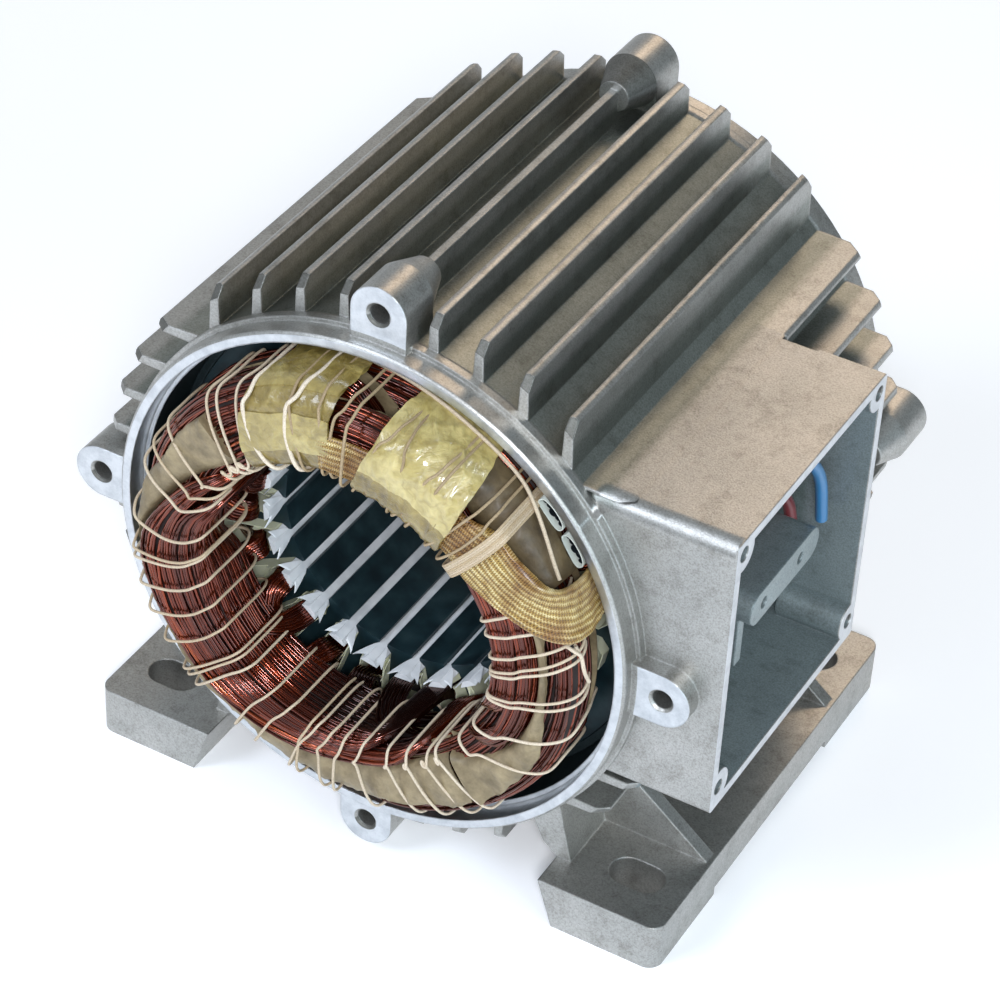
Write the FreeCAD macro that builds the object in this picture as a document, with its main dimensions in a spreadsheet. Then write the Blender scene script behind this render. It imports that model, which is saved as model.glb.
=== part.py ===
import FreeCAD, Part
import math
import os
import Sketcher

# Wound stator of a small foot-mounted induction motor: a die-cast aluminium frame with feet, fins and
# terminal box, a pressed-in laminated core with 24 slots, and a laced two-pole winding in three planes.
# Origin: centre of the four foot slots, on the foot plane. X across the feet, Y along the shaft with
# the open end that the leads leave at -Y, Z up. Lengths are millimetres and angles degrees. Profiles
# are drawn about the shaft axis and every piece is then raised to the shaft height by its Placement.

os.makedirs("parts", exist_ok=True)
doc = FreeCAD.newDocument("wound_stator")
sheet = doc.addObject("Spreadsheet::Sheet", "sizes")

SIZES = [
    # frame: standard foot fixing first, then the turned ends and the barrel between them
    ("shaft_height", 90.0),
    ("foot_span", 140.0),
    ("foot_length", 100.0),
    ("frame_length", 140.0),
    ("ring_radius", 71.25),
    ("ring_land", 5.5),
    ("ring_chamfer", 0.6),
    ("shoulder_radius", 72.45),
    ("shoulder_width", 2.2),
    ("barrel_radius", 72.0),
    ("register_radius", 68.4),
    ("register_depth", 6.0),
    ("cavity_radius", 67.2),
    # cooling fins: parallel plates on four sides, their tips on one circle
    ("fin_pitch", 12.0),
    ("fin_pairs", 4),
    ("fin_tip_radius", 81.2),
    ("fin_tip_width", 2.0),
    ("fin_draft", 2.2),
    ("fin_setback", 8.0),
    ("fin_nose", 2.6),
    # tapped lugs for the end shields
    ("lug_count", 4),
    ("lug_circle_radius", 79.25),
    ("lug_radius", 7.5),
    ("lug_setback", 3.25),
    ("lug_body", 12.0),
    ("lug_tail", 9.0),
    ("lug_tail_radius", 4.2),
    ("lug_hole_radius_front", 2.6),
    ("lug_hole_radius_rear", 2.5),
    ("lug_hole_depth", 14.0),
    ("lug_hole_chamfer", 0.7),
    # feet
    ("foot_edge", 14.0),
    ("foot_inner", 49.5),
    ("foot_undercut", 4.6),
    ("pad_height", 14.0),
    ("pad_setback", 5.0),
    ("pad_length", 32.3),
    ("pad_corner", 4.0),
    ("rail_relief", 2.5),
    ("web_thickness", 4.0),
    ("web_setback", 15.0),
    ("web_angle", 52.0),
    ("web_root_spread", 4.6),
    ("web_knee_x", 45.3),
    ("web_knee_height", 3.4),
    ("gusset_thickness", 4.0),
    ("gusset_setback", 33.2),
    ("gusset_angle", 45.0),
    ("gusset_toe", 1.2),
    ("slot_hole_width", 10.0),
    ("slot_hole_length", 15.0),
    # terminal box, open to +X
    ("box_face", 92.5),
    ("box_setback", 8.0),
    ("box_length", 79.5),
    ("box_top", 48.6),
    ("box_drop", 33.7),
    ("box_wall", 2.8),
    ("box_corner", 5.0),
    ("cover_pitch", 72.0),
    ("cover_boss_radius", 5.0),
    ("cover_boss_length", 18.0),
    ("cover_hole_radius", 2.1),
    ("cover_hole_depth", 12.0),
    ("cover_hole_lift", 1.15),
    # pedestal for the terminal board and the small earth rib under it
    ("pedestal_face", 86.3),
    ("pedestal_length", 37.5),
    ("pedestal_height", 8.9),
    ("pedestal_start", 34.7),
    ("pedestal_lift", 5.95),
    ("pedestal_hole_pitch", 19.8),
    ("pedestal_hole_inset", 7.2),
    ("pedestal_hole_radius", 1.65),
    ("pedestal_hole_depth", 10.0),
    ("earth_rib_width", 3.2),
    ("earth_rib_length", 13.0),
    ("earth_rib_face", 83.0),
    # window in the barrel wall that the leads use
    ("window_length", 9.0),
    ("window_height", 26.0),
    ("window_lift", 35.0),
    # laminated core
    ("core_radius", 65.0),
    ("core_length", 97.5),
    ("core_gap", 0.05),
    ("bore_radius", 36.0),
    ("slot_count", 24),
    ("slot_phase", 4.5),
    ("slot_opening", 2.3),
    ("tip_depth", 0.9),
    ("tip_slope", 1.4),
    ("tooth_width", 4.6),
    ("slot_belly_radius", 54.2),
    ("slot_bottom_radius", 56.8),
    ("slot_bottom_width", 5.0),
    # slot insulation
    ("liner_gap", 0.05),
    ("liner_thickness", 0.3),
    ("liner_overhang", 3.0),
    ("liner_top_radius", 39.0),
    ("wedge_gap", 0.12),
    ("wedge_thickness", 1.6),
    ("wedge_overhang", 6.5),
    # winding: three planes, each a ring of two coil groups with a long and a short coil
    ("copper_gap", 0.08),
    ("neck_start", 3.3),
    ("neck_spread", 5.3),
    ("channel_depth", 2.2),
    ("bank_start", 9.0),
    ("bank_depth", 7.3),
    ("bank_gap", 0.5),
    ("bundle_inner", 41.5),
    ("bundle_split", 51.6),
    ("coil_gap", 0.25),
    ("bundle_outer", 62.0),
    ("bank_round", 2.2),
    ("front_round", 3.4),
    ("paper_thickness", 0.3),
    ("first_slot", 1),
    # lacing, tape, lead sleeve
    ("cord_size", 0.8),
    ("cord_gap", 0.12),
    ("tape_thickness", 0.5),
    ("tape_gap", 0.1),
    ("tape_return", 3.0),
    ("tape_left_start", 96.0),
    ("tape_left_span", 34.0),
    ("tape_right_start", 46.0),
    ("tape_right_span", 34.0),
    ("sleeve_rise", 2.4),
    ("band_rise", 5.3),
    ("band_thickness", 0.6),
    ("band_width", 2.8),
    # white tubes over the leads between the bundle and the frame, and the leads in the box
    ("tube_width", 9.0),
    ("tube_height", 3.4),
    ("tube_wall", 0.5),
    ("tube_setback", 0.5),
    ("tube_length", 11.5),
    ("tube_angle_high", 42.0),
    ("tube_angle_low", 33.0),
    ("lead_radius", 1.6),
]
for row, (alias, value) in enumerate(SIZES, start=1):
    sheet.set(f"A{row}", alias)
    sheet.set(f"B{row}", str(value))
    sheet.setAlias(f"B{row}", alias)
doc.recompute()

V = FreeCAD.Vector
Y_AXIS = V(0, 1, 0)
RAISE = "sizes.shaft_height"
FACING_Y = FreeCAD.Rotation(V(1, 0, 0), 90)      # lays a profile drawn in X-Y into the X-Z plane
ALONG_Y = FreeCAD.Rotation(V(1, 0, 0), -90)      # turns a cylinder's axis from Z to Y
ALONG_X = FreeCAD.Rotation(V(0, 1, 0), 90)       # turns a cylinder's axis from Z to X


def size(name):
    """The number that the sheet holds under this name."""
    return float(sheet.get(name))


def bind(obj, **expressions):
    """Tie properties of an object to the sheet; place_x stands for Placement.Base.x."""
    for name, expression in expressions.items():
        path = name.replace("place_", ".Placement.Base.") if name.startswith("place_") else name
        obj.setExpression(path, str(expression))
    return obj


def draw_loop(sketch, corners):
    """Add a closed loop of lines through corners, each a pair of expressions on the sheet."""
    count = len(corners)
    first = sketch.GeometryCount
    for index in range(count):
        start = V(first + index, index * index * 0.1, 0)
        end = V(first + index + 1, (index + 1) * (index + 1) * 0.1, 0)
        sketch.addGeometry(Part.LineSegment(start, end), False)
    for index in range(count):
        after = first + (index + 1) % count
        sketch.addConstraint(Sketcher.Constraint("Coincident", first + index, 2, after, 1))
    for index, (across, along) in enumerate(corners):
        for kind, expression in (("DistanceX", across), ("DistanceY", along)):
            place = sketch.addConstraint(Sketcher.Constraint(kind, -1, 1, first + index, 1, 1.0))
            sketch.setExpression(f"Constraints[{place}]", str(expression))


def outline(name, corners, rotation=None):
    """A closed sketch through corners."""
    sketch = doc.addObject("Sketcher::SketchObject", name)
    draw_loop(sketch, corners)
    if rotation:
        sketch.Placement = FreeCAD.Placement(V(0, 0, 0), rotation)
    return sketch


def turned(name, corners, start=0, sweep=360):
    """A solid turned about the shaft axis from a profile of radius and length along Y."""
    solid = doc.addObject("Part::Revolution", name)
    solid.Source = outline(f"{name}_profile", corners)
    solid.Axis = V(0, -1, 0)
    solid.Base = V(0, 0, 0)
    solid.Solid = True
    solid.setExpression("Angle", str(sweep))
    solid.Placement.Rotation = FreeCAD.Rotation(V(0, -1, 0), 0)
    if start != 0:
        turn_to(solid, start)
    return solid


def turn_to(obj, angle):
    """Turn a piece about the shaft axis, from +X towards +Z, by an angle tied to the sheet."""
    obj.Placement.Rotation = FreeCAD.Rotation(V(0, -1, 0), 10)
    obj.setExpression(".Placement.Rotation.Angle", f"({angle}) * 1 deg")
    return obj


def prism(name, corners, front, rear):
    """A solid drawn in X-Z and run along Y from front to rear."""
    solid = doc.addObject("Part::Extrusion", name)
    solid.Base = outline(f"{name}_profile", corners, FACING_Y)
    solid.DirMode = "Custom"
    solid.Dir = Y_AXIS
    solid.Solid = True
    solid.setExpression("LengthFwd", f"({rear}) - ({front})")
    solid.setExpression(".Placement.Base.y", f"{front}")
    return solid


def block(name, low, high):
    """A box between two corners, each three expressions."""
    solid = doc.addObject("Part::Box", name)
    bind(solid, place_x=low[0], place_y=low[1], place_z=low[2])
    for prop, a, b in zip(("Length", "Width", "Height"), low, high):
        solid.setExpression(prop, f"({b}) - ({a})")
    return solid


def rod(name, radius, length, at, rotation=ALONG_Y):
    """A round bar from a point, along Y unless told otherwise."""
    solid = doc.addObject("Part::Cylinder", name)
    solid.Placement.Rotation = rotation
    bind(solid, Radius=radius, Height=length, place_x=at[0], place_y=at[1], place_z=at[2])
    return solid


def taper(name, radius_a, radius_b, length, at, rotation=ALONG_Y):
    """A round bar that changes from one radius to another."""
    solid = doc.addObject("Part::Cone", name)
    solid.Placement.Rotation = rotation
    bind(solid, Radius1=radius_a, Radius2=radius_b, Height=length,
         place_x=at[0], place_y=at[1], place_z=at[2])
    return solid


def joined(name, pieces):
    solid = doc.addObject("Part::MultiFuse", name)
    solid.Shapes = pieces
    solid.Refine = True
    return solid


def less(name, whole, tool):
    solid = doc.addObject("Part::Cut", name)
    solid.Base = whole
    solid.Tool = tool
    return solid


def within(name, one, other):
    solid = doc.addObject("Part::Common", name)
    solid.Base = one
    solid.Tool = other
    return solid


def mirrored(name, source, normal):
    solid = doc.addObject("Part::Mirroring", name)
    solid.Source = source
    solid.Normal = normal
    solid.Base = V(0, 0, 0)
    return solid


NODES = []


def node(obj, label, raised=True):
    """Name a finished piece and raise it from the shaft axis to its height over the feet."""
    obj.Label = label
    if raised:
        obj.setExpression(".Placement.Base.z", RAISE)
    NODES.append(obj)
    return obj


FRONT = "-sizes.frame_length / 2"
REAR = "sizes.frame_length / 2"
CORE_END = "sizes.core_length / 2"


# Barrel: a turned tube with a machined ring at each end, a register inside each ring for the end
# shield, a wider cavity round each end winding and the seat of the core in the middle.
def barrel():
    half = [
        ("sizes.register_radius", f"{FRONT} + 0"),
        ("sizes.ring_radius - sizes.ring_chamfer", f"{FRONT} + 0"),
        ("sizes.ring_radius", f"{FRONT} + sizes.ring_chamfer"),
        ("sizes.ring_radius", f"{FRONT} + sizes.ring_land"),
        ("sizes.shoulder_radius", f"{FRONT} + sizes.ring_land"),
        ("sizes.shoulder_radius", f"{FRONT} + sizes.ring_land + sizes.shoulder_width"),
        ("sizes.barrel_radius", f"{FRONT} + sizes.ring_land + sizes.shoulder_width + 1"),
    ]
    bore = [
        ("sizes.core_radius + sizes.core_gap", f"-({CORE_END}) - 0.5"),
        ("sizes.cavity_radius", f"-({CORE_END}) - 0.5"),
        ("sizes.cavity_radius", f"{FRONT} + sizes.register_depth"),
        ("sizes.register_radius", f"{FRONT} + sizes.register_depth"),
    ]
    rear = [(radius, f"-({along})") for radius, along in half]
    rear_bore = [(radius, f"-({along})") for radius, along in bore]
    return turned("barrel", half + rear[::-1] + rear_bore[::-1] + bore)


# Fins: tapered plates in four sets square to each other. Their tips lie on one circle, and a turned
# envelope bevels their ends. The set under the frame stops short of the feet.
def fins():
    plates = []
    pairs = int(size("fin_pairs"))
    sides = (("top", 0, pairs), ("left", -90, pairs), ("bottom", 180, pairs - 1), ("right", 90, pairs))
    for side, turn, reach in sides:
        for step in range(-reach, reach + 1):
            offset = f"({step} * sizes.fin_pitch)"
            tip = f"sqrt(sizes.fin_tip_radius ^ 2 - {offset} ^ 2)"
            root = f"(sqrt(sizes.barrel_radius ^ 2 - {offset} ^ 2) - 2.5)"
            spread = f"({tip} - {root}) * tan(sizes.fin_draft) + sizes.fin_tip_width / 2"
            half_length = f"({REAR} - sizes.fin_setback)"
            plate = doc.addObject("Part::Wedge", f"fin_{side}_{step + reach}")
            bind(plate, Ymin=root, Ymax=tip, Zmin=f"-{half_length}", Zmax=half_length,
                 Z2min=f"-{half_length}", Z2max=half_length, Xmin=f"-({spread})", Xmax=spread,
                 X2min="-sizes.fin_tip_width / 2", X2max="sizes.fin_tip_width / 2")
            swing = FreeCAD.Rotation(V(0, 1, 0), turn)
            plate.Placement.Rotation = swing.multiply(FACING_Y)
            across = swing.multVec(V(1, 0, 0))
            bind(plate, place_x=f"{round(across.x)} * {offset}", place_z=f"{round(across.z)} * {offset}")
            plates.append(plate)
    tip = "sizes.fin_tip_radius"
    end = f"({REAR} - sizes.fin_setback)"
    envelope = turned("fin_envelope", [
        ("1", f"-{end}"), (f"{tip} - sizes.fin_nose", f"-{end}"), (tip, f"-{end} + sizes.fin_nose"),
        (tip, f"{end} - sizes.fin_nose"), (f"{tip} - sizes.fin_nose", end), ("1", end)])
    return within("fin_set", joined("fin_plates", plates), envelope)


# Lugs: D-shaped bosses at both ends, tapped for the end-shield screws, fading into the fin behind.
def lugs(holes):
    bosses = []
    for end, sign in (("front", 1), ("rear", -1)):
        rotation = ALONG_Y if sign > 0 else FACING_Y
        face = f"{sign} * ({FRONT} + sizes.lug_setback)"
        for index in range(int(size("lug_count"))):
            angle = f"({index} * 360 / sizes.lug_count)"
            at = [f"sizes.lug_circle_radius * cos({angle})", face,
                  f"sizes.lug_circle_radius * sin({angle})"]
            back = [at[0], f"{face} + {sign} * sizes.lug_body", at[2]]
            mouth = [at[0], f"{face} - {sign} * 0.01", at[2]]
            tag = f"{end}_{index}"
            hole = f"sizes.lug_hole_radius_{end}"
            bosses.append(rod(f"lug_{tag}", "sizes.lug_radius", "sizes.lug_body", at, rotation))
            bosses.append(taper(f"lug_tail_{tag}", "sizes.lug_radius", "sizes.lug_tail_radius",
                                "sizes.lug_tail", back, rotation))
            neck = doc.addObject("Part::Box", f"lug_neck_{tag}")
            turn = FreeCAD.Rotation(V(0, -1, 0), index * 360.0 / size("lug_count"))
            neck.Placement.Rotation = turn
            low = V(0, 0, -1)
            low = turn.multVec(low)
            inner = "(sizes.barrel_radius - 2.5)"
            bind(neck, Length=f"sizes.lug_circle_radius - {inner}", Width="sizes.lug_body",
                 Height="2 * sizes.lug_radius",
                 place_x=f"{inner} * cos({angle}) + {low.x} * sizes.lug_radius",
                 place_y=f"{FRONT} + sizes.lug_setback" if sign > 0 else f"{face} - sizes.lug_body",
                 place_z=f"{inner} * sin({angle}) + {low.z} * sizes.lug_radius")
            bosses.append(neck)
            holes.append(rod(f"lug_hole_{tag}", hole, "sizes.lug_hole_depth", mouth, rotation))
            holes.append(taper(f"lug_chamfer_{tag}", f"{hole} + sizes.lug_hole_chamfer", hole,
                               "sizes.lug_hole_chamfer", mouth, rotation))
    return bosses


# Feet: a splayed web carries a rail with a thick pad at each end, a slot through each pad and a
# gusset beside it. The rail is relieved between the pads so that only they meet the base.
def foot():
    floor = "(-sizes.shaft_height)"
    outer = "(sizes.foot_span / 2 + sizes.foot_edge)"
    top = f"({floor} + sizes.pad_height)"
    root = "(sizes.barrel_radius - 1.8)"
    low = "(sizes.web_angle + sizes.web_root_spread)"
    high = "(sizes.web_angle - sizes.web_root_spread)"
    web_y = f"({REAR} - sizes.web_setback)"
    web = prism("foot_web", [
        ("sizes.foot_inner", f"{top} - 1"), ("sizes.foot_inner", top),
        ("sizes.web_knee_x", f"{top} + sizes.web_knee_height"),
        (f"{root} * cos({low})", f"-{root} * sin({low})"),
        (f"{root} * cos({high})", f"-{root} * sin({high})"),
        ("sizes.foot_inner + sizes.web_thickness", top),
        ("sizes.foot_inner + sizes.web_thickness", f"{top} - 1")], f"-{web_y}", web_y)
    pad_y = f"({REAR} - sizes.pad_setback)"
    rail = prism("foot_rail", [
        ("sizes.foot_inner", top), (outer, top), (outer, floor),
        ("sizes.foot_inner + sizes.foot_undercut", floor)], f"-{pad_y}", pad_y)
    rounded = doc.addObject("Part::Fillet", "foot_rail_rounded")
    rounded.Base = rail
    doc.recompute()
    outer_edge = size("foot_span") / 2 + size("foot_edge")
    upright = []
    for number, edge in enumerate(rail.Shape.Edges, start=1):
        box = edge.BoundBox
        if box.ZLength > size("pad_height") - 0.1 and box.XMin > outer_edge - 0.1:
            upright.append((number, size("pad_corner"), size("pad_corner")))
    rounded.Edges = upright
    gussets = []
    for end, sign in (("front", -1), ("rear", 1)):
        near = f"{sign} * ({REAR} - sizes.gusset_setback)"
        far = f"{sign} * ({REAR} - sizes.gusset_setback - sizes.gusset_thickness)"
        first, last = (near, far) if sign < 0 else (far, near)
        gussets.append(prism(f"gusset_{end}", [
            (f"{root} * cos(sizes.gusset_angle)", f"-{root} * sin(sizes.gusset_angle)"),
            (f"{outer} - sizes.gusset_toe", top), (f"{outer} - sizes.gusset_toe", f"{top} - 1"),
            ("sizes.foot_inner + 1", f"{top} - 1"),
            (f"{root} * cos(sizes.web_angle)", f"-{root} * sin(sizes.web_angle)")], first, last))
    pad_end = f"({REAR} - sizes.pad_setback - sizes.pad_length)"
    relief = block("rail_relief_space", ["0", f"-{pad_end}", f"{floor} - 1"],
                   [f"{outer} + 1", pad_end, f"{floor} + sizes.rail_relief"])
    cuts = [relief]
    reach = "(sizes.slot_hole_length - sizes.slot_hole_width) / 2"
    for end, sign in (("front", -1), ("rear", 1)):
        middle = f"({sign} * sizes.foot_length / 2)"
        cuts.append(block(f"foot_slot_{end}",
                          [f"sizes.foot_span / 2 - {reach}", f"{middle} - sizes.slot_hole_width / 2",
                           f"{floor} - 1"],
                          [f"sizes.foot_span / 2 + {reach}", f"{middle} + sizes.slot_hole_width / 2",
                           f"{top} + 1"]))
        for side, move in (("inner", -1), ("outer", 1)):
            cuts.append(rod(f"foot_slot_{end}_{side}", "sizes.slot_hole_width / 2",
                            "sizes.pad_height + 2",
                            [f"sizes.foot_span / 2 + {move} * {reach}", middle, f"{floor} - 1"],
                            FreeCAD.Rotation()))
    body = joined("foot_solid", [web, rounded] + gussets)
    return less("foot_right", body, joined("foot_cuts", cuts))


# Terminal box: a rectangular cast wall round an opening towards +X, with four cover-screw bosses.
def terminal_box(holes):
    front = f"({FRONT} + sizes.box_setback)"
    rear = f"({front} + sizes.box_length)"
    middle = f"({front} + sizes.box_length / 2)"
    outer = block("box_outer", ["sizes.barrel_radius / 2", front, "-sizes.box_drop"],
                  ["sizes.box_face", rear, "sizes.box_top"])
    rounded = doc.addObject("Part::Fillet", "box_rounded")
    rounded.Base = outer
    doc.recompute()
    radii = {(0, 1): size("box_corner"), (1, 1): size("box_corner") / 2,
             (0, 0): size("box_corner") / 4, (1, 0): size("box_corner") / 4}
    chosen = []
    extent = outer.Shape.BoundBox
    for number, edge in enumerate(outer.Shape.Edges, start=1):
        box = edge.BoundBox
        if box.XLength > 1:
            key = (int(box.YMin > extent.Center.y), int(box.ZMin > extent.Center.z))
            chosen.append((number, radii[key], radii[key]))
    rounded.Edges = chosen
    inner = block("box_inner", ["0", f"{front} + sizes.box_wall", "-sizes.box_drop + sizes.box_wall"],
                  ["sizes.box_face + 1", f"{rear} - sizes.box_wall", "sizes.box_top - sizes.box_wall"])
    shell = less("box_shell", rounded, inner)
    centre_z = "((sizes.box_top - sizes.box_drop) / 2 + sizes.cover_hole_lift)"
    posts = []
    for index in range(4):
        along = f"({middle} + {1 if index % 2 else -1} * sizes.cover_pitch / 2)"
        up = f"({centre_z} + {1 if index // 2 else -1} * sizes.cover_pitch / 2)"
        posts.append(rod(f"cover_boss_{index}", "sizes.cover_boss_radius", "sizes.cover_boss_length",
                         ["sizes.box_face - sizes.cover_boss_length", along, up], ALONG_X))
        holes.append(rod(f"cover_hole_{index}", "sizes.cover_hole_radius",
                         "sizes.cover_hole_depth + 1",
                         ["sizes.box_face - sizes.cover_hole_depth", along, up], ALONG_X))
    limit = block("box_limit", ["sizes.barrel_radius / 2", front, "-sizes.box_drop"],
                  ["sizes.box_face", rear, "sizes.box_top"])
    bosses = within("cover_bosses", joined("cover_posts", posts), limit)
    start = f"({FRONT} + sizes.pedestal_start)"
    end_radius = "sizes.pedestal_height / 2"
    lift = "sizes.pedestal_lift"
    depth = "sizes.pedestal_face - sizes.barrel_radius / 2"
    pedestal = [block("pedestal_web", ["sizes.barrel_radius / 2", f"{start} + {end_radius}",
                                       f"{lift} - {end_radius}"],
                      ["sizes.pedestal_face", f"{start} + sizes.pedestal_length - {end_radius}",
                       f"{lift} + {end_radius}"])]
    for tag, along in (("front", f"{start} + {end_radius}"),
                       ("rear", f"{start} + sizes.pedestal_length - {end_radius}")):
        pedestal.append(rod(f"pedestal_{tag}", end_radius, depth,
                            ["sizes.barrel_radius / 2", along, lift], ALONG_X))
    for index in range(2):
        along = f"{start} + sizes.pedestal_hole_inset + {index} * sizes.pedestal_hole_pitch"
        holes.append(rod(f"pedestal_hole_{index}", "sizes.pedestal_hole_radius",
                         "sizes.pedestal_hole_depth + 1",
                         ["sizes.pedestal_face - sizes.pedestal_hole_depth", along, lift], ALONG_X))
    rib = block("earth_rib", ["sizes.barrel_radius / 2", f"{start} + 1",
                              f"{lift} - {end_radius} - sizes.earth_rib_length"],
                ["sizes.earth_rib_face", f"{start} + 1 + sizes.earth_rib_width", lift])
    core_space = rod("barrel_space", "sizes.barrel_radius - 1.5", "sizes.frame_length",
                     ["0", FRONT, "0"])
    walls = joined("box_walls", [shell, bosses, rib] + pedestal)
    return limit, less("box_on_barrel", walls, core_space)


def housing():
    holes = []
    box_space, box = terminal_box(holes)
    bare_fins = less("fins_outside_box", fins(), box_space)
    right = foot()
    left = mirrored("foot_left", right, V(1, 0, 0))
    window_y = f"{FRONT} + sizes.box_setback + sizes.box_wall"
    holes.append(block("lead_window",
                       ["sizes.barrel_radius / 2", window_y, "sizes.window_lift - sizes.window_height / 2"],
                       ["sizes.barrel_radius", f"{window_y} + sizes.window_length",
                        "sizes.window_lift + sizes.window_height / 2"]))
    cast = joined("casting", [barrel(), bare_fins, box, right, left] + lugs(holes))
    return node(less("housing_cut", cast, joined("housing_holes", holes)), "housing")


# Slot form, shared by the core, the liners and the copper: parallel teeth, so the slot widens outwards.
def slot_half_width(radius, inset):
    return f"({radius}) * sin(180 / sizes.slot_count) - sizes.tooth_width / 2 - ({inset})"


def slot_corners(inset, start):
    belly = "sizes.slot_belly_radius"
    bottom = f"sizes.slot_bottom_radius - ({inset})"
    side = [(start, slot_half_width(start, inset)), (belly, slot_half_width(belly, inset)),
            (bottom, f"sizes.slot_bottom_width / 2 - ({inset}) / 2")]
    return side + [(radius, f"-({half})") for radius, half in side[::-1]]


# Core: pressed stack of electrical-steel laminations, drawn as one ring with a slot cut and repeated.
def stator_core():
    body = doc.addObject("PartDesign::Body", "core_body")
    plane = [item for item in body.Origin.OriginFeatures if item.Role == "XZ_Plane"][0]
    ring = body.newObject("Sketcher::SketchObject", "core_ring")
    ring.AttachmentSupport = [(plane, "")]
    ring.MapMode = "FlatFace"
    for index, radius in enumerate(("sizes.core_radius", "sizes.bore_radius")):
        ring.addGeometry(Part.Circle(V(0, 0, 0), V(0, 0, 1), 50 - 10 * index), False)
        ring.addConstraint(Sketcher.Constraint("Coincident", index, 3, -1, 1))
        place = ring.addConstraint(Sketcher.Constraint("Radius", index, 50 - 10 * index))
        ring.setExpression(f"Constraints[{place}]", radius)
    pad = body.newObject("PartDesign::Pad", "core_stack")
    pad.Profile = ring
    pad.Midplane = True
    pad.setExpression("Length", "sizes.core_length")
    doc.recompute()
    slot = body.newObject("Sketcher::SketchObject", "core_slot")
    slot.AttachmentSupport = [(plane, "")]
    slot.MapMode = "FlatFace"
    mouth = "sizes.slot_opening / 2"
    tip = "sizes.bore_radius + sizes.tip_depth"
    shoulder = f"{tip} + sizes.tip_slope"
    half = [("sizes.bore_radius - 2", mouth), (tip, mouth),
            (shoulder, slot_half_width(shoulder, "0"))] + slot_corners("0", shoulder)[1:3]
    draw_loop(slot, half + [(radius, f"-({width})") for radius, width in half[::-1]])
    pocket = body.newObject("PartDesign::Pocket", "core_slot_cut")
    pocket.Profile = slot
    pocket.Midplane = True
    pocket.Type = "Length"
    pocket.setExpression("Length", "sizes.core_length + 2")
    doc.recompute()
    pattern = body.newObject("PartDesign::PolarPattern", "core_slots")
    pattern.Originals = [pocket]
    axis = [item for item in body.Origin.OriginFeatures if item.Role == "Y_Axis"][0]
    pattern.Axis = (axis, [""])
    pattern.Angle = 360
    pattern.Occurrences = int(size("slot_count"))
    body.Tip = pattern
    turn_to(body, "sizes.slot_phase")
    return node(body, "stator_core")


def slot_angle(index):
    return f"(sizes.slot_phase + {index} * 360 / sizes.slot_count)"


# Slot liners: folded insulating paper, a channel on the slot walls that stands out at both ends.
def slot_liners():
    inset = "sizes.liner_gap"
    inner = "sizes.liner_gap + sizes.liner_thickness"
    end = f"({CORE_END} + sizes.liner_overhang)"
    top = "sizes.liner_top_radius"
    pieces = []
    for index in range(int(size("slot_count"))):
        outer_form = prism(f"liner_outer_{index}", slot_corners(inset, top), f"-{end}", end)
        inner_form = prism(f"liner_inner_{index}", slot_corners(inner, f"{top} - 1"),
                           f"-{end} - 1", f"{end} + 1")
        channel = less(f"liner_{index}", outer_form, inner_form)
        pieces.append(turn_to(channel, slot_angle(index)))
    group = doc.addObject("Part::Compound", "liner_group")
    group.Links = pieces
    return node(group, "slot_liners")


# Slot wedges: pale strips under the tooth tips that close each slot, longer than the core.
def slot_wedges():
    tip = "(sizes.bore_radius + sizes.tip_depth + sizes.wedge_gap)"
    shoulder = "(sizes.bore_radius + sizes.tip_depth + sizes.tip_slope + sizes.wedge_gap)"
    back = f"({tip} + sizes.wedge_thickness)"
    mouth = "(sizes.slot_opening / 2 - 0.1)"
    wide = f"({slot_half_width(shoulder, '2 * sizes.wedge_gap')})"
    end = f"({CORE_END} + sizes.wedge_overhang)"
    corners = [(tip, mouth), (shoulder, wide), (back, wide), (back, f"-{wide}"),
               (shoulder, f"-{wide}"), (tip, f"-{mouth}")]
    pieces = []
    for index in range(int(size("slot_count"))):
        strip = prism(f"wedge_{index}", corners, f"-{end}", end)
        pieces.append(turn_to(strip, slot_angle(index)))
    group = doc.addObject("Part::Compound", "wedge_group")
    group.Links = pieces
    return node(group, "slot_wedges")


# Coils: each has two sides in slots and an end turn at each end, which lies in its phase's plane.
# Copper of the second and third phase leaves its slot through a channel inside the planes behind it.
PHASES = ("u", "v", "w")


def bank_level(phase):
    depth = f"{phase} * (sizes.bank_depth + sizes.bank_gap)"
    near = f"({CORE_END} + sizes.bank_start + {depth})"
    return near, f"({near} + sizes.bank_depth)"


def coil_radii(long_coil):
    if long_coil:
        return "(sizes.bundle_split + sizes.coil_gap)", "sizes.bundle_outer"
    return "sizes.bundle_inner", "sizes.bundle_split"


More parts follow.
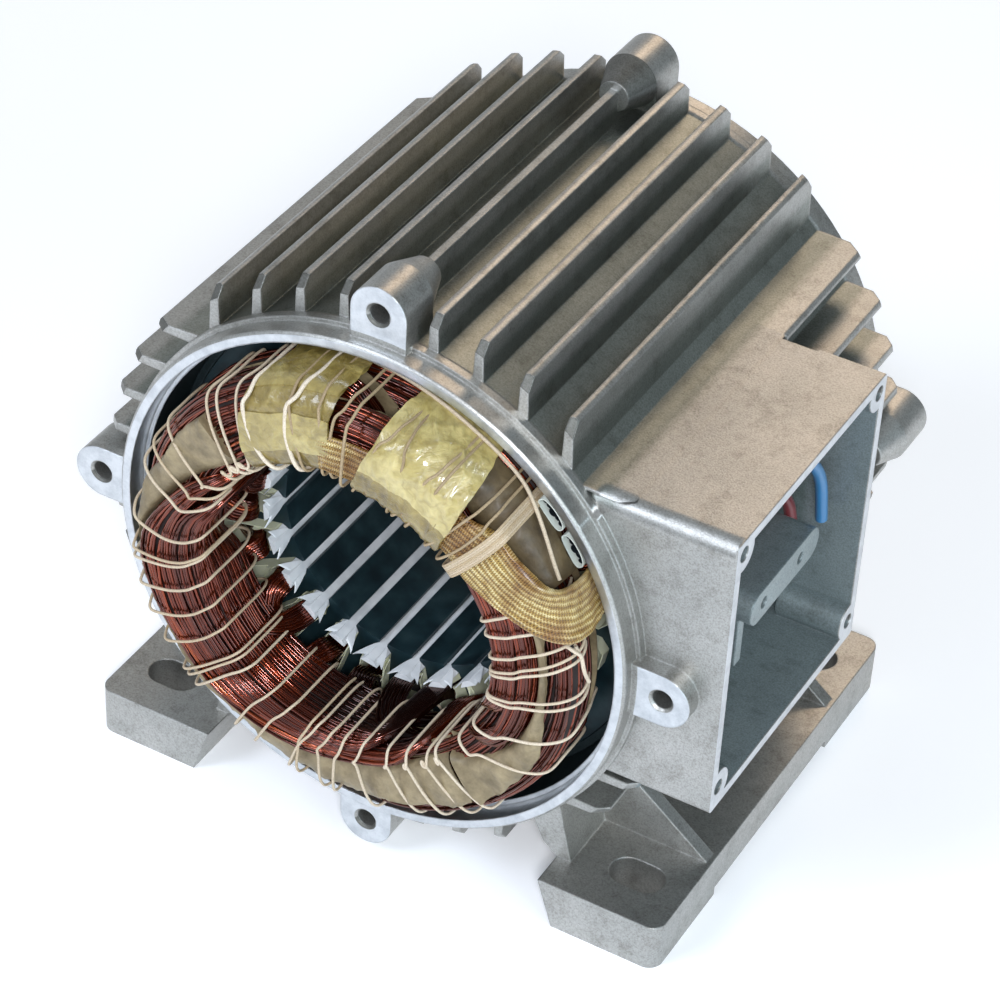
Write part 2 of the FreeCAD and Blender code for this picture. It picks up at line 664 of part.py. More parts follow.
def coil(phase, group, long_coil):
    letter = PHASES[phase]
    label = f"coil_{letter}{group + 1}_{'long' if long_coil else 'short'}"
    near, far = bank_level(phase)
    low, high = coil_radii(long_coil)
    half = int(size("slot_count")) // 2
    sixth = int(size("slot_count")) // 6
    first = int(size("first_slot")) + phase * sixth + group * half + (0 if long_coil else 1)
    last = first + half - (1 if long_coil else 3)
    front = "sizes.front_round" if phase == 2 else "sizes.bank_round"
    back = "sizes.bank_round"
    arc = [(low, near), (f"{high} - {back}", near), (high, f"{near} + {back}"),
           (high, f"{far} - {front}"), (f"{high} - {front}", far), (f"{low} + {back}", far),
           (low, f"{far} - {back}")]
    slot_top = "(sizes.liner_top_radius + sizes.copper_gap)"
    slot_low = "(sizes.slot_bottom_radius - 0.8)"
    foot_level = f"({CORE_END} + sizes.neck_start)"
    neck = [(slot_top, foot_level), (slot_low, foot_level)]
    if phase == 0:
        neck += [(slot_low, f"{foot_level} + 1.2")]
        neck += [(f"{high} - {back}", near), (high, f"{near} + {back}")] if long_coil else [(high, near)]
    else:
        channel = f"({slot_top} + sizes.channel_depth)"
        neck += [(slot_low, f"{foot_level} + 1.2"),
                 (channel, f"{CORE_END} + sizes.bank_start - 0.3"),
                 (channel, near), (f"{high} - {back}", near), (high, f"{near} + {back}")]
    neck += [(high, f"{far} - {front}"), (f"{high} - {front}", far),
             (f"{slot_top} + {back}", far), (slot_top, f"{far} - {back}")]
    span = f"({last - first} * 360 / sizes.slot_count)"
    end_turn = [turned(f"{label}_arc", arc, slot_angle(first), span)]
    for side, place in (("a", first), ("b", last)):
        start = f"{slot_angle(place)} - sizes.neck_spread"
        end_turn.append(turned(f"{label}_neck_{side}", neck, start, "2 * sizes.neck_spread"))
    rear = joined(f"{label}_rear", end_turn)
    pieces = [rear, mirrored(f"{label}_front", rear, Y_AXIS)]
    inset = "sizes.liner_gap + sizes.liner_thickness + sizes.copper_gap"
    reach = f"({foot_level} + 1)"
    for side, place in (("a", first), ("b", last)):
        bar = prism(f"{label}_side_{side}", slot_corners(inset, slot_top), f"-{reach}", reach)
        pieces.append(turn_to(bar, slot_angle(place)))
    return node(joined(f"{label}_body", pieces), label)


# Phase papers: curved sheets between the planes of the winding, one behind each group.
def phase_paper(end, phase, group):
    half = int(size("slot_count")) // 2
    sixth = int(size("slot_count")) // 6
    first = int(size("first_slot")) + phase * sixth + group * half
    near, far = bank_level(phase)
    middle = f"({near} - sizes.bank_gap / 2)"
    low = "(sizes.bundle_inner + 0.3)"
    high = "sizes.bundle_outer"
    sheet_half = "sizes.paper_thickness / 2"
    corners = [(low, f"{middle} - {sheet_half}"), (high, f"{middle} - {sheet_half}"),
               (high, f"{middle} + {sheet_half}"), (low, f"{middle} + {sheet_half}")]
    if end == "front":
        corners = [(radius, f"-({along})") for radius, along in corners]
    span = f"({half - 0.6} * 360 / sizes.slot_count)"
    paper = turned(f"paper_{end}_{PHASES[phase]}{group}", corners, slot_angle(first - 0.2), span)
    return node(paper, f"phase_paper_{end}_{PHASES[phase]}{group + 1}")


# Contour of the wound ring seen in a cut along the shaft: radius and distance from the middle of the
# core, at a distance outside the copper. A rise lifts its face where the lead sleeve lies on it.
def bundle_contour(away, rise="0", nose=None):
    slope = f"({away}) * tan(22.5)"
    inner = "(sizes.liner_top_radius + sizes.copper_gap)"
    outer = "sizes.bundle_outer"
    back = f"({CORE_END} + sizes.bank_start)"
    face = f"({CORE_END} + sizes.bank_start + 3 * sizes.bank_depth + 2 * sizes.bank_gap + {rise})"
    edge = "sizes.bank_round"
    nose = nose or f"(sizes.front_round + {rise})"
    return [(f"{inner} - ({away})", f"{back} - ({away})"),
            (f"{inner} - ({away})", f"{face} - {edge} + {slope}"),
            (f"{inner} + {edge} - {slope}", f"{face} + ({away})"),
            (f"{outer} - {nose} + {slope}", f"{face} + ({away})"),
            (f"{outer} + ({away})", f"{face} - {nose} + {slope}"),
            (f"{outer} + ({away})", f"{back} + {edge} - {slope}"),
            (f"{outer} - {edge} + {slope}", f"{back} - ({away})")]


def to_front(corners):
    return [(radius, f"-({along})") for radius, along in corners]


# Tape wraps: varnished cloth tape over the face of the bundle where the lead joints lie, open behind.
def tape_wrap(label, start, span, rise):
    near = "sizes.tape_gap"
    far = "(sizes.tape_gap + sizes.tape_thickness)"
    inside = bundle_contour(near, rise)[1:5]
    outside = bundle_contour(far, rise)[1:5]
    heel = f"({CORE_END} + sizes.bank_start + sizes.bank_round + 0.2)"
    toe = f"({heel} + sizes.tape_return)"
    section = [(outside[0][0], toe)] + outside + [(outside[-1][0], heel), (inside[-1][0], heel)]
    section += inside[::-1] + [(inside[0][0], toe)]
    return node(turned(f"{label}_wrap", to_front(section), start, span), label)


# Lacing: cord loops round the bundle between the slots, drawn as one loop for each tooth.
def loop_outline(name, near, thickness, rise="0", nose=None, front=True):
    sketch = doc.addObject("Sketcher::SketchObject", name)
    for away in (f"({near} + {thickness})", near):
        corners = bundle_contour(away, rise, nose)
        draw_loop(sketch, to_front(corners) if front else corners)
    return sketch


def hoop(name, sketch, width, angle):
    """A band of the given width, cut from a loop drawn along the shaft and turned to its angle."""
    band = doc.addObject("Part::Extrusion", name)
    band.Base = sketch
    band.DirMode = "Custom"
    band.Dir = V(0, 0, 1)
    band.Solid = True
    band.Symmetric = True
    band.FaceMakerClass = "Part::FaceMakerBullseye"
    band.setExpression("LengthFwd", width)
    return turn_to(band, angle)


def tooth_angle(index):
    return f"({slot_angle(index)} + 180 / sizes.slot_count)"


def lacing():
    over_tape = "(sizes.cord_gap + sizes.tape_gap + sizes.tape_thickness)"
    bare = loop_outline("lacing_bare", "sizes.cord_gap", "sizes.cord_size")
    taped = loop_outline("lacing_taped", over_tape, "sizes.cord_size")
    raised = loop_outline("lacing_raised", over_tape, "sizes.cord_size", "sizes.sleeve_rise")
    rear = loop_outline("lacing_behind", "sizes.cord_gap", "sizes.cord_size", front=False)
    step = 360 / size("slot_count")
    left = size("tape_left_start")
    right = size("tape_right_start")
    front_loops = []
    rear_loops = []
    for index in range(int(size("slot_count"))):
        angle = size("slot_phase") + (index + 0.5) * step
        rear_loops.append(hoop(f"rear_loop_{index}", rear, "sizes.cord_size", tooth_angle(index)))
        if index == BAND_TOOTH:
            continue
        form = bare
        if left < angle < left + size("tape_left_span"):
            form = taped
        elif right < angle < left:
            form = raised
        front_loops.append(hoop(f"front_loop_{index}", form, "sizes.cord_size", tooth_angle(index)))
    for label, loops in (("lacing_front", front_loops), ("lacing_rear", rear_loops)):
        group = doc.addObject("Part::Compound", f"{label}_group")
        group.Links = loops
        node(group, label)
    band = loop_outline("band", "sizes.cord_gap", "sizes.band_thickness", "sizes.band_rise",
                        "sizes.front_round")
    node(hoop("band_hoop", band, "sizes.band_width", tooth_angle(BAND_TOOTH)), "sleeve_tie_band")


# Lead sleeve: a flat woven sleeve that leaves the tape, crosses the face of the bundle and folds over
# its rim into the gap to the frame. Each line gives angle, radius and height over the end of the
# core for its inner edge, the same for its outer edge, and half its thickness.
BAND_TOOTH = 2
SLEEVE = [
    (95.0, 43.6, 33.15, 95.0, 55.6, 33.15, 1.0),
    (85.0, 43.6, 33.15, 85.0, 55.6, 33.15, 1.0),
    (75.0, 43.6, 33.15, 75.0, 55.6, 33.15, 1.0),
    (65.0, 43.6, 33.15, 65.0, 55.6, 33.15, 1.0),
    (55.0, 43.6, 33.15, 55.0, 55.6, 33.15, 1.0),
    (46.0, 43.6, 33.15, 46.0, 55.6, 33.15, 1.0),
    (44.6, 44.0, 33.65, 44.6, 61.0, 33.65, 1.5),
    (39.5, 44.8, 33.75, 39.5, 61.6, 33.75, 1.5),
    (33.0, 47.6, 34.95, 34.5, 64.2, 34.75, 1.6),
    (25.5, 53.5, 35.30, 30.5, 67.0, 33.90, 1.6),
    (18.5, 61.0, 35.20, 29.5, 68.4, 29.40, 1.5),
    (15.5, 66.4, 28.00, 28.5, 66.1, 23.00, 1.4),
    (17.5, 65.2, 18.50, 27.5, 65.1, 17.00, 1.4),
    (19.0, 65.1, 10.00, 27.5, 65.1, 10.00, 1.4),
]


def round_point(angle, radius, height):
    turn = math.radians(angle)
    along = -(size("core_length") / 2 + height)
    return V(radius * math.cos(turn), along, radius * math.sin(turn))


def lead_sleeve():
    edges = [(round_point(*row[:3]), round_point(*row[3:6])) for row in SLEEVE]
    middles = [(low + high) * 0.5 for low, high in edges]
    sections = []
    for index, (low, high) in enumerate(edges):
        half = SLEEVE[index][6]
        before = middles[max(index - 1, 0)]
        after = middles[min(index + 1, len(edges) - 1)]
        across = high.sub(low).normalize()
        lift = across.cross(after.sub(before)).normalize() * half
        edge = across * (half * 1.1)
        corners = [low, low + edge + lift, high - edge + lift, high, high - edge - lift, low + edge - lift]
        sections.append(Part.makePolygon(corners + [low]))
    piece = doc.addObject("Part::Feature", "lead_sleeve_form")
    piece.Shape = Part.makeLoft(sections, True, True)
    return node(piece, "lead_sleeve")


# Lead tubes: two flattened white tubes that lie in the gap and take the leads to the window.
def lead_tube(label, angle):
    sketch = doc.addObject("Sketcher::SketchObject", f"{label}_section")
    sketch.Placement = FreeCAD.Placement(V(0, 0, 0), FACING_Y)
    middle = "(sizes.cavity_radius - 0.45 - sizes.tube_height / 2)"
    for inset in ("0", "sizes.tube_wall"):
        wide = f"(sizes.tube_width / 2 - {inset})"
        high = f"(sizes.tube_height / 2 - {inset})"
        draw_loop(sketch, [(f"{middle} + {high}", f"{wide} - {high}"), (middle, wide),
                           (f"{middle} - {high}", f"{wide} - {high}"),
                           (f"{middle} - {high}", f"-({wide} - {high})"), (middle, f"-{wide}"),
                           (f"{middle} + {high}", f"-({wide} - {high})")])
    tube = doc.addObject("Part::Extrusion", f"{label}_tube")
    tube.Base = sketch
    tube.DirMode = "Custom"
    tube.Dir = Y_AXIS
    tube.Solid = True
    tube.FaceMakerClass = "Part::FaceMakerBullseye"
    tube.setExpression("LengthFwd", "sizes.tube_length")
    tube.setExpression(".Placement.Base.y", f"{FRONT} + sizes.tube_setback")
    return node(turn_to(tube, angle), label)


# Leads in the terminal box: insulated wires from the window over the pedestal to behind it. The blue
# one lies against the box and is given by its distance from the box's outer face, the red one lies on
# the barrel and is given by its distance from the barrel. The other numbers are the places back from
# the front face and up from the shaft axis. Bends are as large as fit.
LEADS = (
    ("lead_blue", "box", [(29.5, 15.3, 41), (16.5, 20, 44), (8.5, 38, 44), (8.5, 58, 41), (9, 76, 21),
                          (9.5, 80.8, 4)]),
    ("lead_red", "barrel", [(-2.5, 14.5, 34), (3.5, 16.5, 33), (1.97, 38, 28.7), (1.95, 58, 23.8),
                            (3.85, 77, 11), (4.2, 80.8, -5)]),
)


def rounded_path(points):
    edges = []
    start = points[0]
    for before, corner, after in zip(points, points[1:], points[2:]):
        inward = before.sub(corner)
        outward = after.sub(corner)
        reach = 0.45 * min(inward.Length, outward.Length)
        near = corner + inward.normalize() * reach
        far = corner + outward.normalize() * reach
        half_turn = (math.pi - inward.getAngle(outward)) / 2
        radius = reach / math.tan(half_turn)
        middle = (inward + outward).normalize()
        centre = corner + middle * math.hypot(radius, reach)
        edges.append(Part.LineSegment(start, near).toShape())
        edges.append(Part.Arc(near, centre - middle * radius, far).toShape())
        start = far
    edges.append(Part.LineSegment(start, points[-1]).toShape())
    return Part.Wire(edges)


def lead(label, carrier, points):
    places = []
    for gap, along, height in points:
        if carrier == "box":
            across = size("box_face") - gap
        else:
            across = math.sqrt(size("barrel_radius") ** 2 - height ** 2) + gap
        places.append(V(across, along - size("frame_length") / 2, height))
    path = rounded_path(places)
    start = path.Edges[0]
    heading = start.tangentAt(start.FirstParameter)
    beside = heading.cross(V(0, 0, 1)).normalize()
    over = beside.cross(heading)
    ring = [start.Vertexes[0].Point + (beside * math.cos(turn) + over * math.sin(turn)) * size("lead_radius")
            for turn in (math.pi / 8 + index * math.pi / 4 for index in range(8))]
    piece = doc.addObject("Part::Feature", f"{label}_form")
    piece.Shape = path.makePipeShell([Part.makePolygon(ring + ring[:1])], True, False)
    return node(piece, label)


housing()
stator_core()
slot_liners()
slot_wedges()
for phase in range(3):
    for group in range(2):
        coil(phase, group, True)
        coil(phase, group, False)
for end in ("front", "rear"):
    for phase in (1, 2):
        for group in range(2):
            phase_paper(end, phase, group)
tape_wrap("tape_wrap_left", "sizes.tape_left_start", "sizes.tape_left_span", "0")
tape_wrap("tape_wrap_right", "sizes.tape_right_start", "sizes.tape_right_span", "sizes.sleeve_rise")
lacing()
lead_sleeve()
lead_tube("lead_tube_upper", "sizes.tube_angle_high")
lead_tube("lead_tube_lower", "sizes.tube_angle_low")
for label, carrier, points in LEADS:
    lead(label, carrier, points)

doc.recompute()
for obj in doc.Objects:
    for state in obj.State:
        if state in ("Invalid", "Error"):
            raise RuntimeError(f"{obj.Name} did not build: {state}")
for obj in NODES:
    if obj.Shape.isNull() or not obj.Shape.isValid():
        raise RuntimeError(f"{obj.Label} is not a valid solid")
    obj.Shape.exportStep(f"parts/{obj.Label}.step")
    print(f"{obj.Label}: {len(obj.Shape.Solids)} solid, {obj.Shape.Volume / 1000:.1f} cm3")
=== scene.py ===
import math
import random

import bpy
import numpy as np
from mathutils import Matrix, Vector, noise


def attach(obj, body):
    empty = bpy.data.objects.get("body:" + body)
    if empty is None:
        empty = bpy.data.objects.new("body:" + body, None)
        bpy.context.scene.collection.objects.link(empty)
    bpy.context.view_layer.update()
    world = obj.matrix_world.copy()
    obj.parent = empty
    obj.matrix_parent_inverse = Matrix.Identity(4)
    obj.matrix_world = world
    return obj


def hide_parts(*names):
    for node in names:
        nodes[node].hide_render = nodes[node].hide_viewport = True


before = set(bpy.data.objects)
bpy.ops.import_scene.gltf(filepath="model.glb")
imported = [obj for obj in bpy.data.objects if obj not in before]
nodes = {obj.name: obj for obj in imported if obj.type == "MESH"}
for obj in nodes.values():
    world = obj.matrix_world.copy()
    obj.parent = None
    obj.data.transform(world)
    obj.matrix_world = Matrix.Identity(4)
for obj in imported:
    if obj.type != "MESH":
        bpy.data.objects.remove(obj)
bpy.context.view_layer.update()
scene = bpy.context.scene
scene.view_settings.view_transform = "Standard"

# Camera. A long lens above the open end, a little to the right, as the photograph is taken. Its place
# and its angles were fitted to the ring, the lug holes and the corners of the terminal box.
yaw, pitch, roll = math.radians(27.96), math.radians(-38.61), math.radians(3.17)
ahead = Vector((-math.sin(yaw) * math.cos(pitch), math.cos(yaw) * math.cos(pitch), math.sin(pitch)))
level = Vector((math.cos(yaw), math.sin(yaw), 0.0))
upright = level.cross(ahead)
right = level * math.cos(roll) + upright * math.sin(roll)
up = upright * math.cos(roll) - level * math.sin(roll)
camera = bpy.data.objects.new("camera", bpy.data.cameras.new("camera"))
scene.collection.objects.link(camera)
camera.data.lens = 123.0
camera.data.sensor_width = 36.0
camera.data.clip_start = 0.05
camera.data.clip_end = 20.0
turn = Matrix((right, up, -ahead)).transposed()
camera.matrix_world = Matrix.Translation((0.32268, -0.61078, 0.62222)) @ turn.to_4x4()
scene.camera = camera

# Floor and light. A matt pale floor in a white studio, a warm light behind that the upper faces mirror,
# a small bright one beside the camera for the glints on wire and tape, and cool ones in front.


def colour(code):
    """An sRGB colour such as "a99b87" as the linear values that sockets take."""
    parts = [int(code[i:i + 2], 16) / 255 for i in (0, 2, 4)]
    linear = [c / 12.92 if c <= 0.04045 else ((c + 0.055) / 1.055) ** 2.4 for c in parts]
    return (*linear, 1.0)


def feed(tree, socket, value):
    """Links an input to a socket, or sets it to a number, a vector or an sRGB code."""
    if isinstance(value, bpy.types.NodeSocket):
        tree.links.new(value, socket)
    else:
        socket.default_value = colour(value) if isinstance(value, str) else value


def add(tree, kind, *feeds, out=None, stops=(), **settings):
    """Adds a node, or a maths node by its operation in capitals, and returns its first output, or the one
    that out names. Feeds go to its inputs in order, and settings to its options and inputs by name."""
    made = tree.nodes.new("ShaderNodeMath" if kind.isupper() else "ShaderNode" + kind)
    if kind.isupper():
        made.operation = kind
    named = {}
    for key, value in settings.items():
        if hasattr(made, key):
            setattr(made, key, value)
        else:
            named[key] = value
    for socket, value in zip([socket for socket in made.inputs if socket.enabled], feeds):
        feed(tree, socket, value)
    for key, value in named.items():
        feed(tree, made.inputs[key], value)
    while stops and len(made.color_ramp.elements) < len(stops):
        made.color_ramp.elements.new(0.5)
    for number, (place, code) in enumerate(stops):
        made.color_ramp.elements[number].position = place
        made.color_ramp.elements[number].color = colour(code)
    return made.outputs[out] if out else next(socket for socket in made.outputs if socket.enabled)


def surface(name, **values):
    """A new material, its tree and its Principled surface, with values for inputs such as Coat_Weight."""
    material = bpy.data.materials.new(name)
    material.use_nodes = True
    tree = material.node_tree
    shader = tree.nodes["Principled BSDF"]
    for key, value in values.items():
        feed(tree, shader.inputs[key.replace("_", " ")], value)
    return material, tree, shader


def give(piece, material):
    """Dresses a piece in one material."""
    piece.data.materials.clear()
    piece.data.materials.append(material)


floor_mesh = bpy.data.meshes.new("floor")
floor_mesh.from_pydata([(-4, -4, 0), (4, -4, 0), (4, 4, 0), (-4, 4, 0)], [], [(0, 1, 2, 3)])
floor = bpy.data.objects.new("floor", floor_mesh)
scene.collection.objects.link(floor)
# rolled studio paint: matt, with a faint glow of its own that keeps the background white
floor_paint, tree, shader = surface("matt_studio_floor", Roughness=0.9, Base_Color="fcfdff",
                                    Emission_Color="ffffff", Emission_Strength=0.14)
give(floor, floor_paint)

# the studio is bright on the left and dim on the right, which gives the metal its modelling
world = bpy.data.worlds.new("studio")
scene.world = world
world.use_nodes = True
tree = world.node_tree
toward = add(tree, "TexCoord", out="Generated")
east, north = (add(tree, "SeparateXYZ", toward, out=axis) for axis in "XY")
side = add(tree, "SUBTRACT", east, add(tree, "MULTIPLY", north, 0.35))
side = add(tree, "MULTIPLY_ADD", side, 0.42, 0.5, use_clamp=True)
walls = add(tree, "ValToRGB", side, stops=[(0.0, "e6ecf3"), (0.5, "aab6bd"), (1.0, "566369")])
feed(tree, tree.nodes["Background"].inputs["Color"], walls)
feed(tree, tree.nodes["Background"].inputs["Strength"], 0.7)


def lamp(name, place, target, power, size, tint):
    """A square soft light at a place, facing a target."""
    data = bpy.data.lights.new(name, "AREA")
    data.energy = power
    data.size = size
    data.color = colour(tint)[:3]
    made = bpy.data.objects.new(name, data)
    scene.collection.objects.link(made)
    made.location = place
    made.rotation_euler = (Vector(target) - Vector(place)).to_track_quat("-Z", "Y").to_euler()


lamp("key", (-0.16, 1.2, 1.25), (0, 0, 0.1), 4.2, 0.5, "ffdfbd")
lamp("flash", (0.62, -1.1, 1.0), (0, 0, 0.09), 15, 0.25, "f6f8ff")
lamp("left", (-0.65, -1.1, 1.15), (0, 0, 0.08), 12.5, 0.6, "e6efff")
lamp("window", (1.35, -0.6, 0.6), (0, 0, 0.06), 12, 0.8, "d0e5f2")


# Housing. One aluminium die casting, blasted, with its end rings, lugs, box rim and feet machined. The
# core is pressed into it and everything else hangs on it.
SHAFT = 90.0                             # shaft height, mm
CRISP = 0.00005                          # soft width of a machined edge in a mask, m
TIMES = {"data_type": "RGBA", "blend_type": "MULTIPLY"}  # for a mix that dulls one tone with another


def zone(tree, *limits):
    """1 where each value is past its edge, or below it where the soft width, given last, is negative."""
    share = None
    for value, edge, soft in limits:
        step = add(tree, "MULTIPLY_ADD", add(tree, "SUBTRACT", value, edge), 1 / soft, 0.5, use_clamp=True)
        share = add(tree, "MULTIPLY", share, step) if share else step
    return share


def relief(tree, shader, *layers, below=None):
    """Lays relief on a surface, in layers of a height socket, its depth in metres and its strength."""
    normal = {"Normal": below} if below else {}
    for height, depth, strength in layers:
        normal["Normal"] = add(tree, "Bump", Height=height, Distance=depth, Strength=strength, **normal)
    feed(tree, shader.inputs["Normal"], normal["Normal"])


# the blasted skin has a grey sparkle, stains and small pits, and the machined faces a brighter sheen
cast_aluminium, tree, shader = surface("blasted_die_cast_aluminium")
place = add(tree, "TexCoord", out="Object")
x, y, z = (add(tree, "SeparateXYZ", place, out=axis) for axis in "XYZ")
facing = add(tree, "NewGeometry", out="Normal")
face_x, face_y, face_z = (add(tree, "SeparateXYZ", facing, out=axis) for axis in "XYZ")
near_end = add(tree, "ABSOLUTE", y)
faces_end = (add(tree, "ABSOLUTE", face_y), 0.95, 0.02)
squares = [add(tree, "POWER", way, 2.0) for way in (x, add(tree, "SUBTRACT", z, SHAFT * 0.001))]
from_shaft = add(tree, "SQRT", add(tree, "ADD", *squares))

# masks by place and facing, with their edges in metres a little short of the surfaces of the solids
ring_face = zone(tree, (near_end, 0.0698, CRISP), faces_end)
lug_face = zone(tree, (near_end, 0.06665, CRISP), (from_shaft, 0.0728, CRISP), faces_end)
register = zone(tree, (near_end, 0.0638, CRISP), (from_shaft, 0.0689, -CRISP))
box_rim = zone(tree, (x, 0.09245, CRISP), (face_x, 0.95, 0.02))
sole = zone(tree, (z, 0.0003, -CRISP), (face_z, -0.95, -0.02))
machined = ring_face
for more in (lug_face, register, box_rim, sole):
    machined = add(tree, "MAXIMUM", machined, more)
# painted shade: the wall of the bore inside the rings is darkened to a dark teal
bore_painted_shade = zone(tree, (from_shaft, 0.0678, -0.0002), (near_end, 0.0637, -0.0002))
# painted shade: the barrel between the fins and the fins' sides near it are darkened
valley_painted_shade = zone(tree, (from_shaft, 0.0768, -0.002), (z, 0.086, 0.02), (from_shaft, 0.0716, 0.0004),
              (near_end, 0.0615, -0.001))
# painted shade: the sloped front ends of the fins are darkened, and made rougher, so that they catch less
# light
fin_end_painted_shade = zone(tree, (face_y, -0.3, -0.1), (face_z, 0.2, 0.1), (from_shaft, 0.0745, 0.0005),
               (x, 0.0535, -0.001))
# painted light: the inside of the terminal box is tinted pale blue, as if lit by a cool light from the right
box_painted_light = zone(tree, (x, 0.0625, 0.0005), (x, 0.0922, -0.0002), (y, -0.0600, 0.0004), (y, 0.0155, -0.0004),
              (z, 0.0440, 0.0004), (z, 0.1366, -0.0004))

# the real grit leaves grains of about 0.2 mm, which are drawn as 0.48 mm so that they show; the metal's
# flow is cloudy over 26 mm, and the skin has stains of 6 mm and pits 4 mm apart
grain = add(tree, "TexNoise", place, Scale=1000 / 0.476, Detail=2.0, Roughness=0.6)
flow = add(tree, "TexNoise", place, Scale=1000 / 26.3, Detail=4.0, Roughness=0.6)
stain = add(tree, "TexNoise", place, Scale=1000 / 5.88, Detail=6.0, Roughness=0.75)
pits = add(tree, "TexNoise", place, Scale=1000 / 3.85, Detail=1.0)
tone = add(tree, "ValToRGB", flow, stops=[(0.3, "b0b0ad"), (0.5, "babab7"), (0.72, "c4c3c0")])
speckle = add(tree, "ValToRGB", grain, stops=[(0.3, "a9a6a0"), (0.5, "dddbd7"), (0.72, "fafafa")])
dirt = add(tree, "ValToRGB", stain, stops=[(0.3, "b4b0a9"), (0.5, "ffffff")])
holes = add(tree, "ValToRGB", pits, stops=[(0.12, "5c5955"), (0.16, "ffffff")])
handled = add(tree, "ValToRGB", stain, stops=[(0.35, "b9bdc1"), (0.6, "d4d7da")])
for share, darker in ((0.6, speckle), (0.5, dirt), (1.0, holes)):
    tone = add(tree, "Mix", share, tone, darker, **TIMES)
tone = add(tree, "Mix", machined, tone, handled, data_type="RGBA")
# painted shade on the bore wall, in the fin valleys and on the fin ends, and painted cool light inside the
# box
for mask, tint in ((bore_painted_shade, "53646b"), (valley_painted_shade, "cfd5d1"), (fin_end_painted_shade, "a5a5a2"), (box_painted_light, "cddde3")):
    tone = add(tree, "Mix", mask, tone, tint, **TIMES)
feed(tree, shader.inputs["Base Color"], tone)
rough = add(tree, "MULTIPLY_ADD", fin_end_painted_shade, 0.2, add(tree, "MULTIPLY_ADD", machined, -0.13, 0.41))
feed(tree, shader.inputs["Roughness"], rough)
# less metal inside the box, so that its painted light reads as diffuse
metal = add(tree, "MULTIPLY_ADD", machined, 0.05, add(tree, "MULTIPLY_ADD", box_painted_light, -0.36, 0.92))
feed(tree, shader.inputs["Metallic"], metal)

# the box's front and roof meet in a wide round, and the fin beside it runs out flush into the roof
eased = add(tree, "Bevel", samples=4, Radius=0.0007)
past_front = add(tree, "MINIMUM", add(tree, "ADD", y, 0.0572), 0.0)
past_roof = add(tree, "MAXIMUM", add(tree, "SUBTRACT", z, 0.1340), 0.0)
round_off = add(tree, "VectorMath", add(tree, "CombineXYZ", Y=past_front, Z=past_roof), operation="NORMALIZE")
front_or_roof = add(tree, "MAXIMUM", zone(tree, (y, -0.0589, -0.0004)), zone(tree, (z, 0.1375, 0.0004)))
on_edge = add(tree, "MULTIPLY", front_or_roof,
              zone(tree, (x, 0.0565, 0.002), (z, 0.1335, 0.001), (x, 0.0921, -0.0004), (y, 0.0172, -0.0004)))
softened = add(tree, "Mix", on_edge, eased, round_off, data_type="VECTOR")

# turning leaves circles at 0.28 mm on the rings, milling leaves lines at 0.7 mm on the other faces
turned = add(tree, "SINE", add(tree, "MULTIPLY", from_shaft, 2 * math.pi / 0.00028))
milled = add(tree, "SINE", add(tree, "MULTIPLY", add(tree, "ADD", y, z), 2 * math.pi / 0.000698))
tool_marks = add(tree, "MULTIPLY", machined, add(tree, "ADD", turned, add(tree, "MULTIPLY", milled, 0.4)))
rugged = add(tree, "MULTIPLY", add(tree, "SUBTRACT", 1.0, machined), grain)
relief(tree, shader, (rugged, 0.0001, 0.4), (stain, 0.0002, 0.25), (tool_marks, 0.000004, 0.6),
       below=softened)
give(nodes["housing"], cast_aluminium)


# Core. Punched steel sheets, pressed into a stack, with a dark bluish varnish from dipping the winding.
# It looks almost black in the bore, and fine lines round it are the sheets' edges.
SHEET = 0.0005                           # thickness of a lamination, m
lamination_steel, tree, shader = surface("varnished_lamination_edges", Metallic=0.35, Roughness=0.36)
place = add(tree, "TexCoord", out="Object")
along = add(tree, "SeparateXYZ", place, out="Y")
sheets = add(tree, "SINE", add(tree, "MULTIPLY", along, 2 * math.pi / SHEET))
film = add(tree, "TexNoise", place, Scale=1000 / 6.25, Detail=4.0)
film_tone = add(tree, "ValToRGB", film, stops=[(0.3, "14242a"), (0.55, "20363c"), (0.8, "33494d")])
feed(tree, shader.inputs["Base Color"], film_tone)
relief(tree, shader, (sheets, 0.00001, 0.5))
give(nodes["stator_core"], lamination_steel)

# Slot wedges. Each is a strip of stiff pale sheet, curled to close its slot. Beyond the core it widens
# into a collar that keeps the coil's neck off the sharp steel corner.
CORE_END = 48.75                         # half the core's length, mm
SLOTS = 24
PITCH = 360 / SLOTS                      # degrees from slot to slot
FIRST = 4.5                              # angle of slot 0
WEDGE_WALL = 0.35
COLLAR = 6.2                             # how far a collar stands out of the core, mm


def at(rows, end=-1):
    """Points in metres from rows of angle round the shaft from +X towards +Z, radius, and millimetres
    beyond the core's end, which is the front one for -1 and the rear one for 1."""
    angle, radius, beyond = np.moveaxis(np.asarray(rows, float), -1, 0)
    turn = np.radians(angle)
    along = end * (CORE_END + beyond)
    return np.stack([radius * np.cos(turn), along, SHAFT + radius * np.sin(turn)], -1) * 0.001


def skin(lines):
    """Points and faces of a surface over a ring of lines of equal length."""
    lines = np.asarray(lines, float)
    across, along = lines.shape[:2]
    grid = np.arange(across * along).reshape(across, along)
    beside = np.roll(grid, -1, 0)
    faces = np.stack([grid[:, :-1], grid[:, 1:], beside[:, 1:], beside[:, :-1]], -1).reshape(-1, 4)
    return lines.reshape(-1, 3), faces


def joined(parts):
    """Points and faces of several parts as those of one mesh."""
    starts = np.cumsum([0] + [len(points) for points, _ in parts])
    return (np.vstack([points for points, _ in parts]),
            np.vstack([faces + start for (_, faces), start in zip(parts, starts)]))


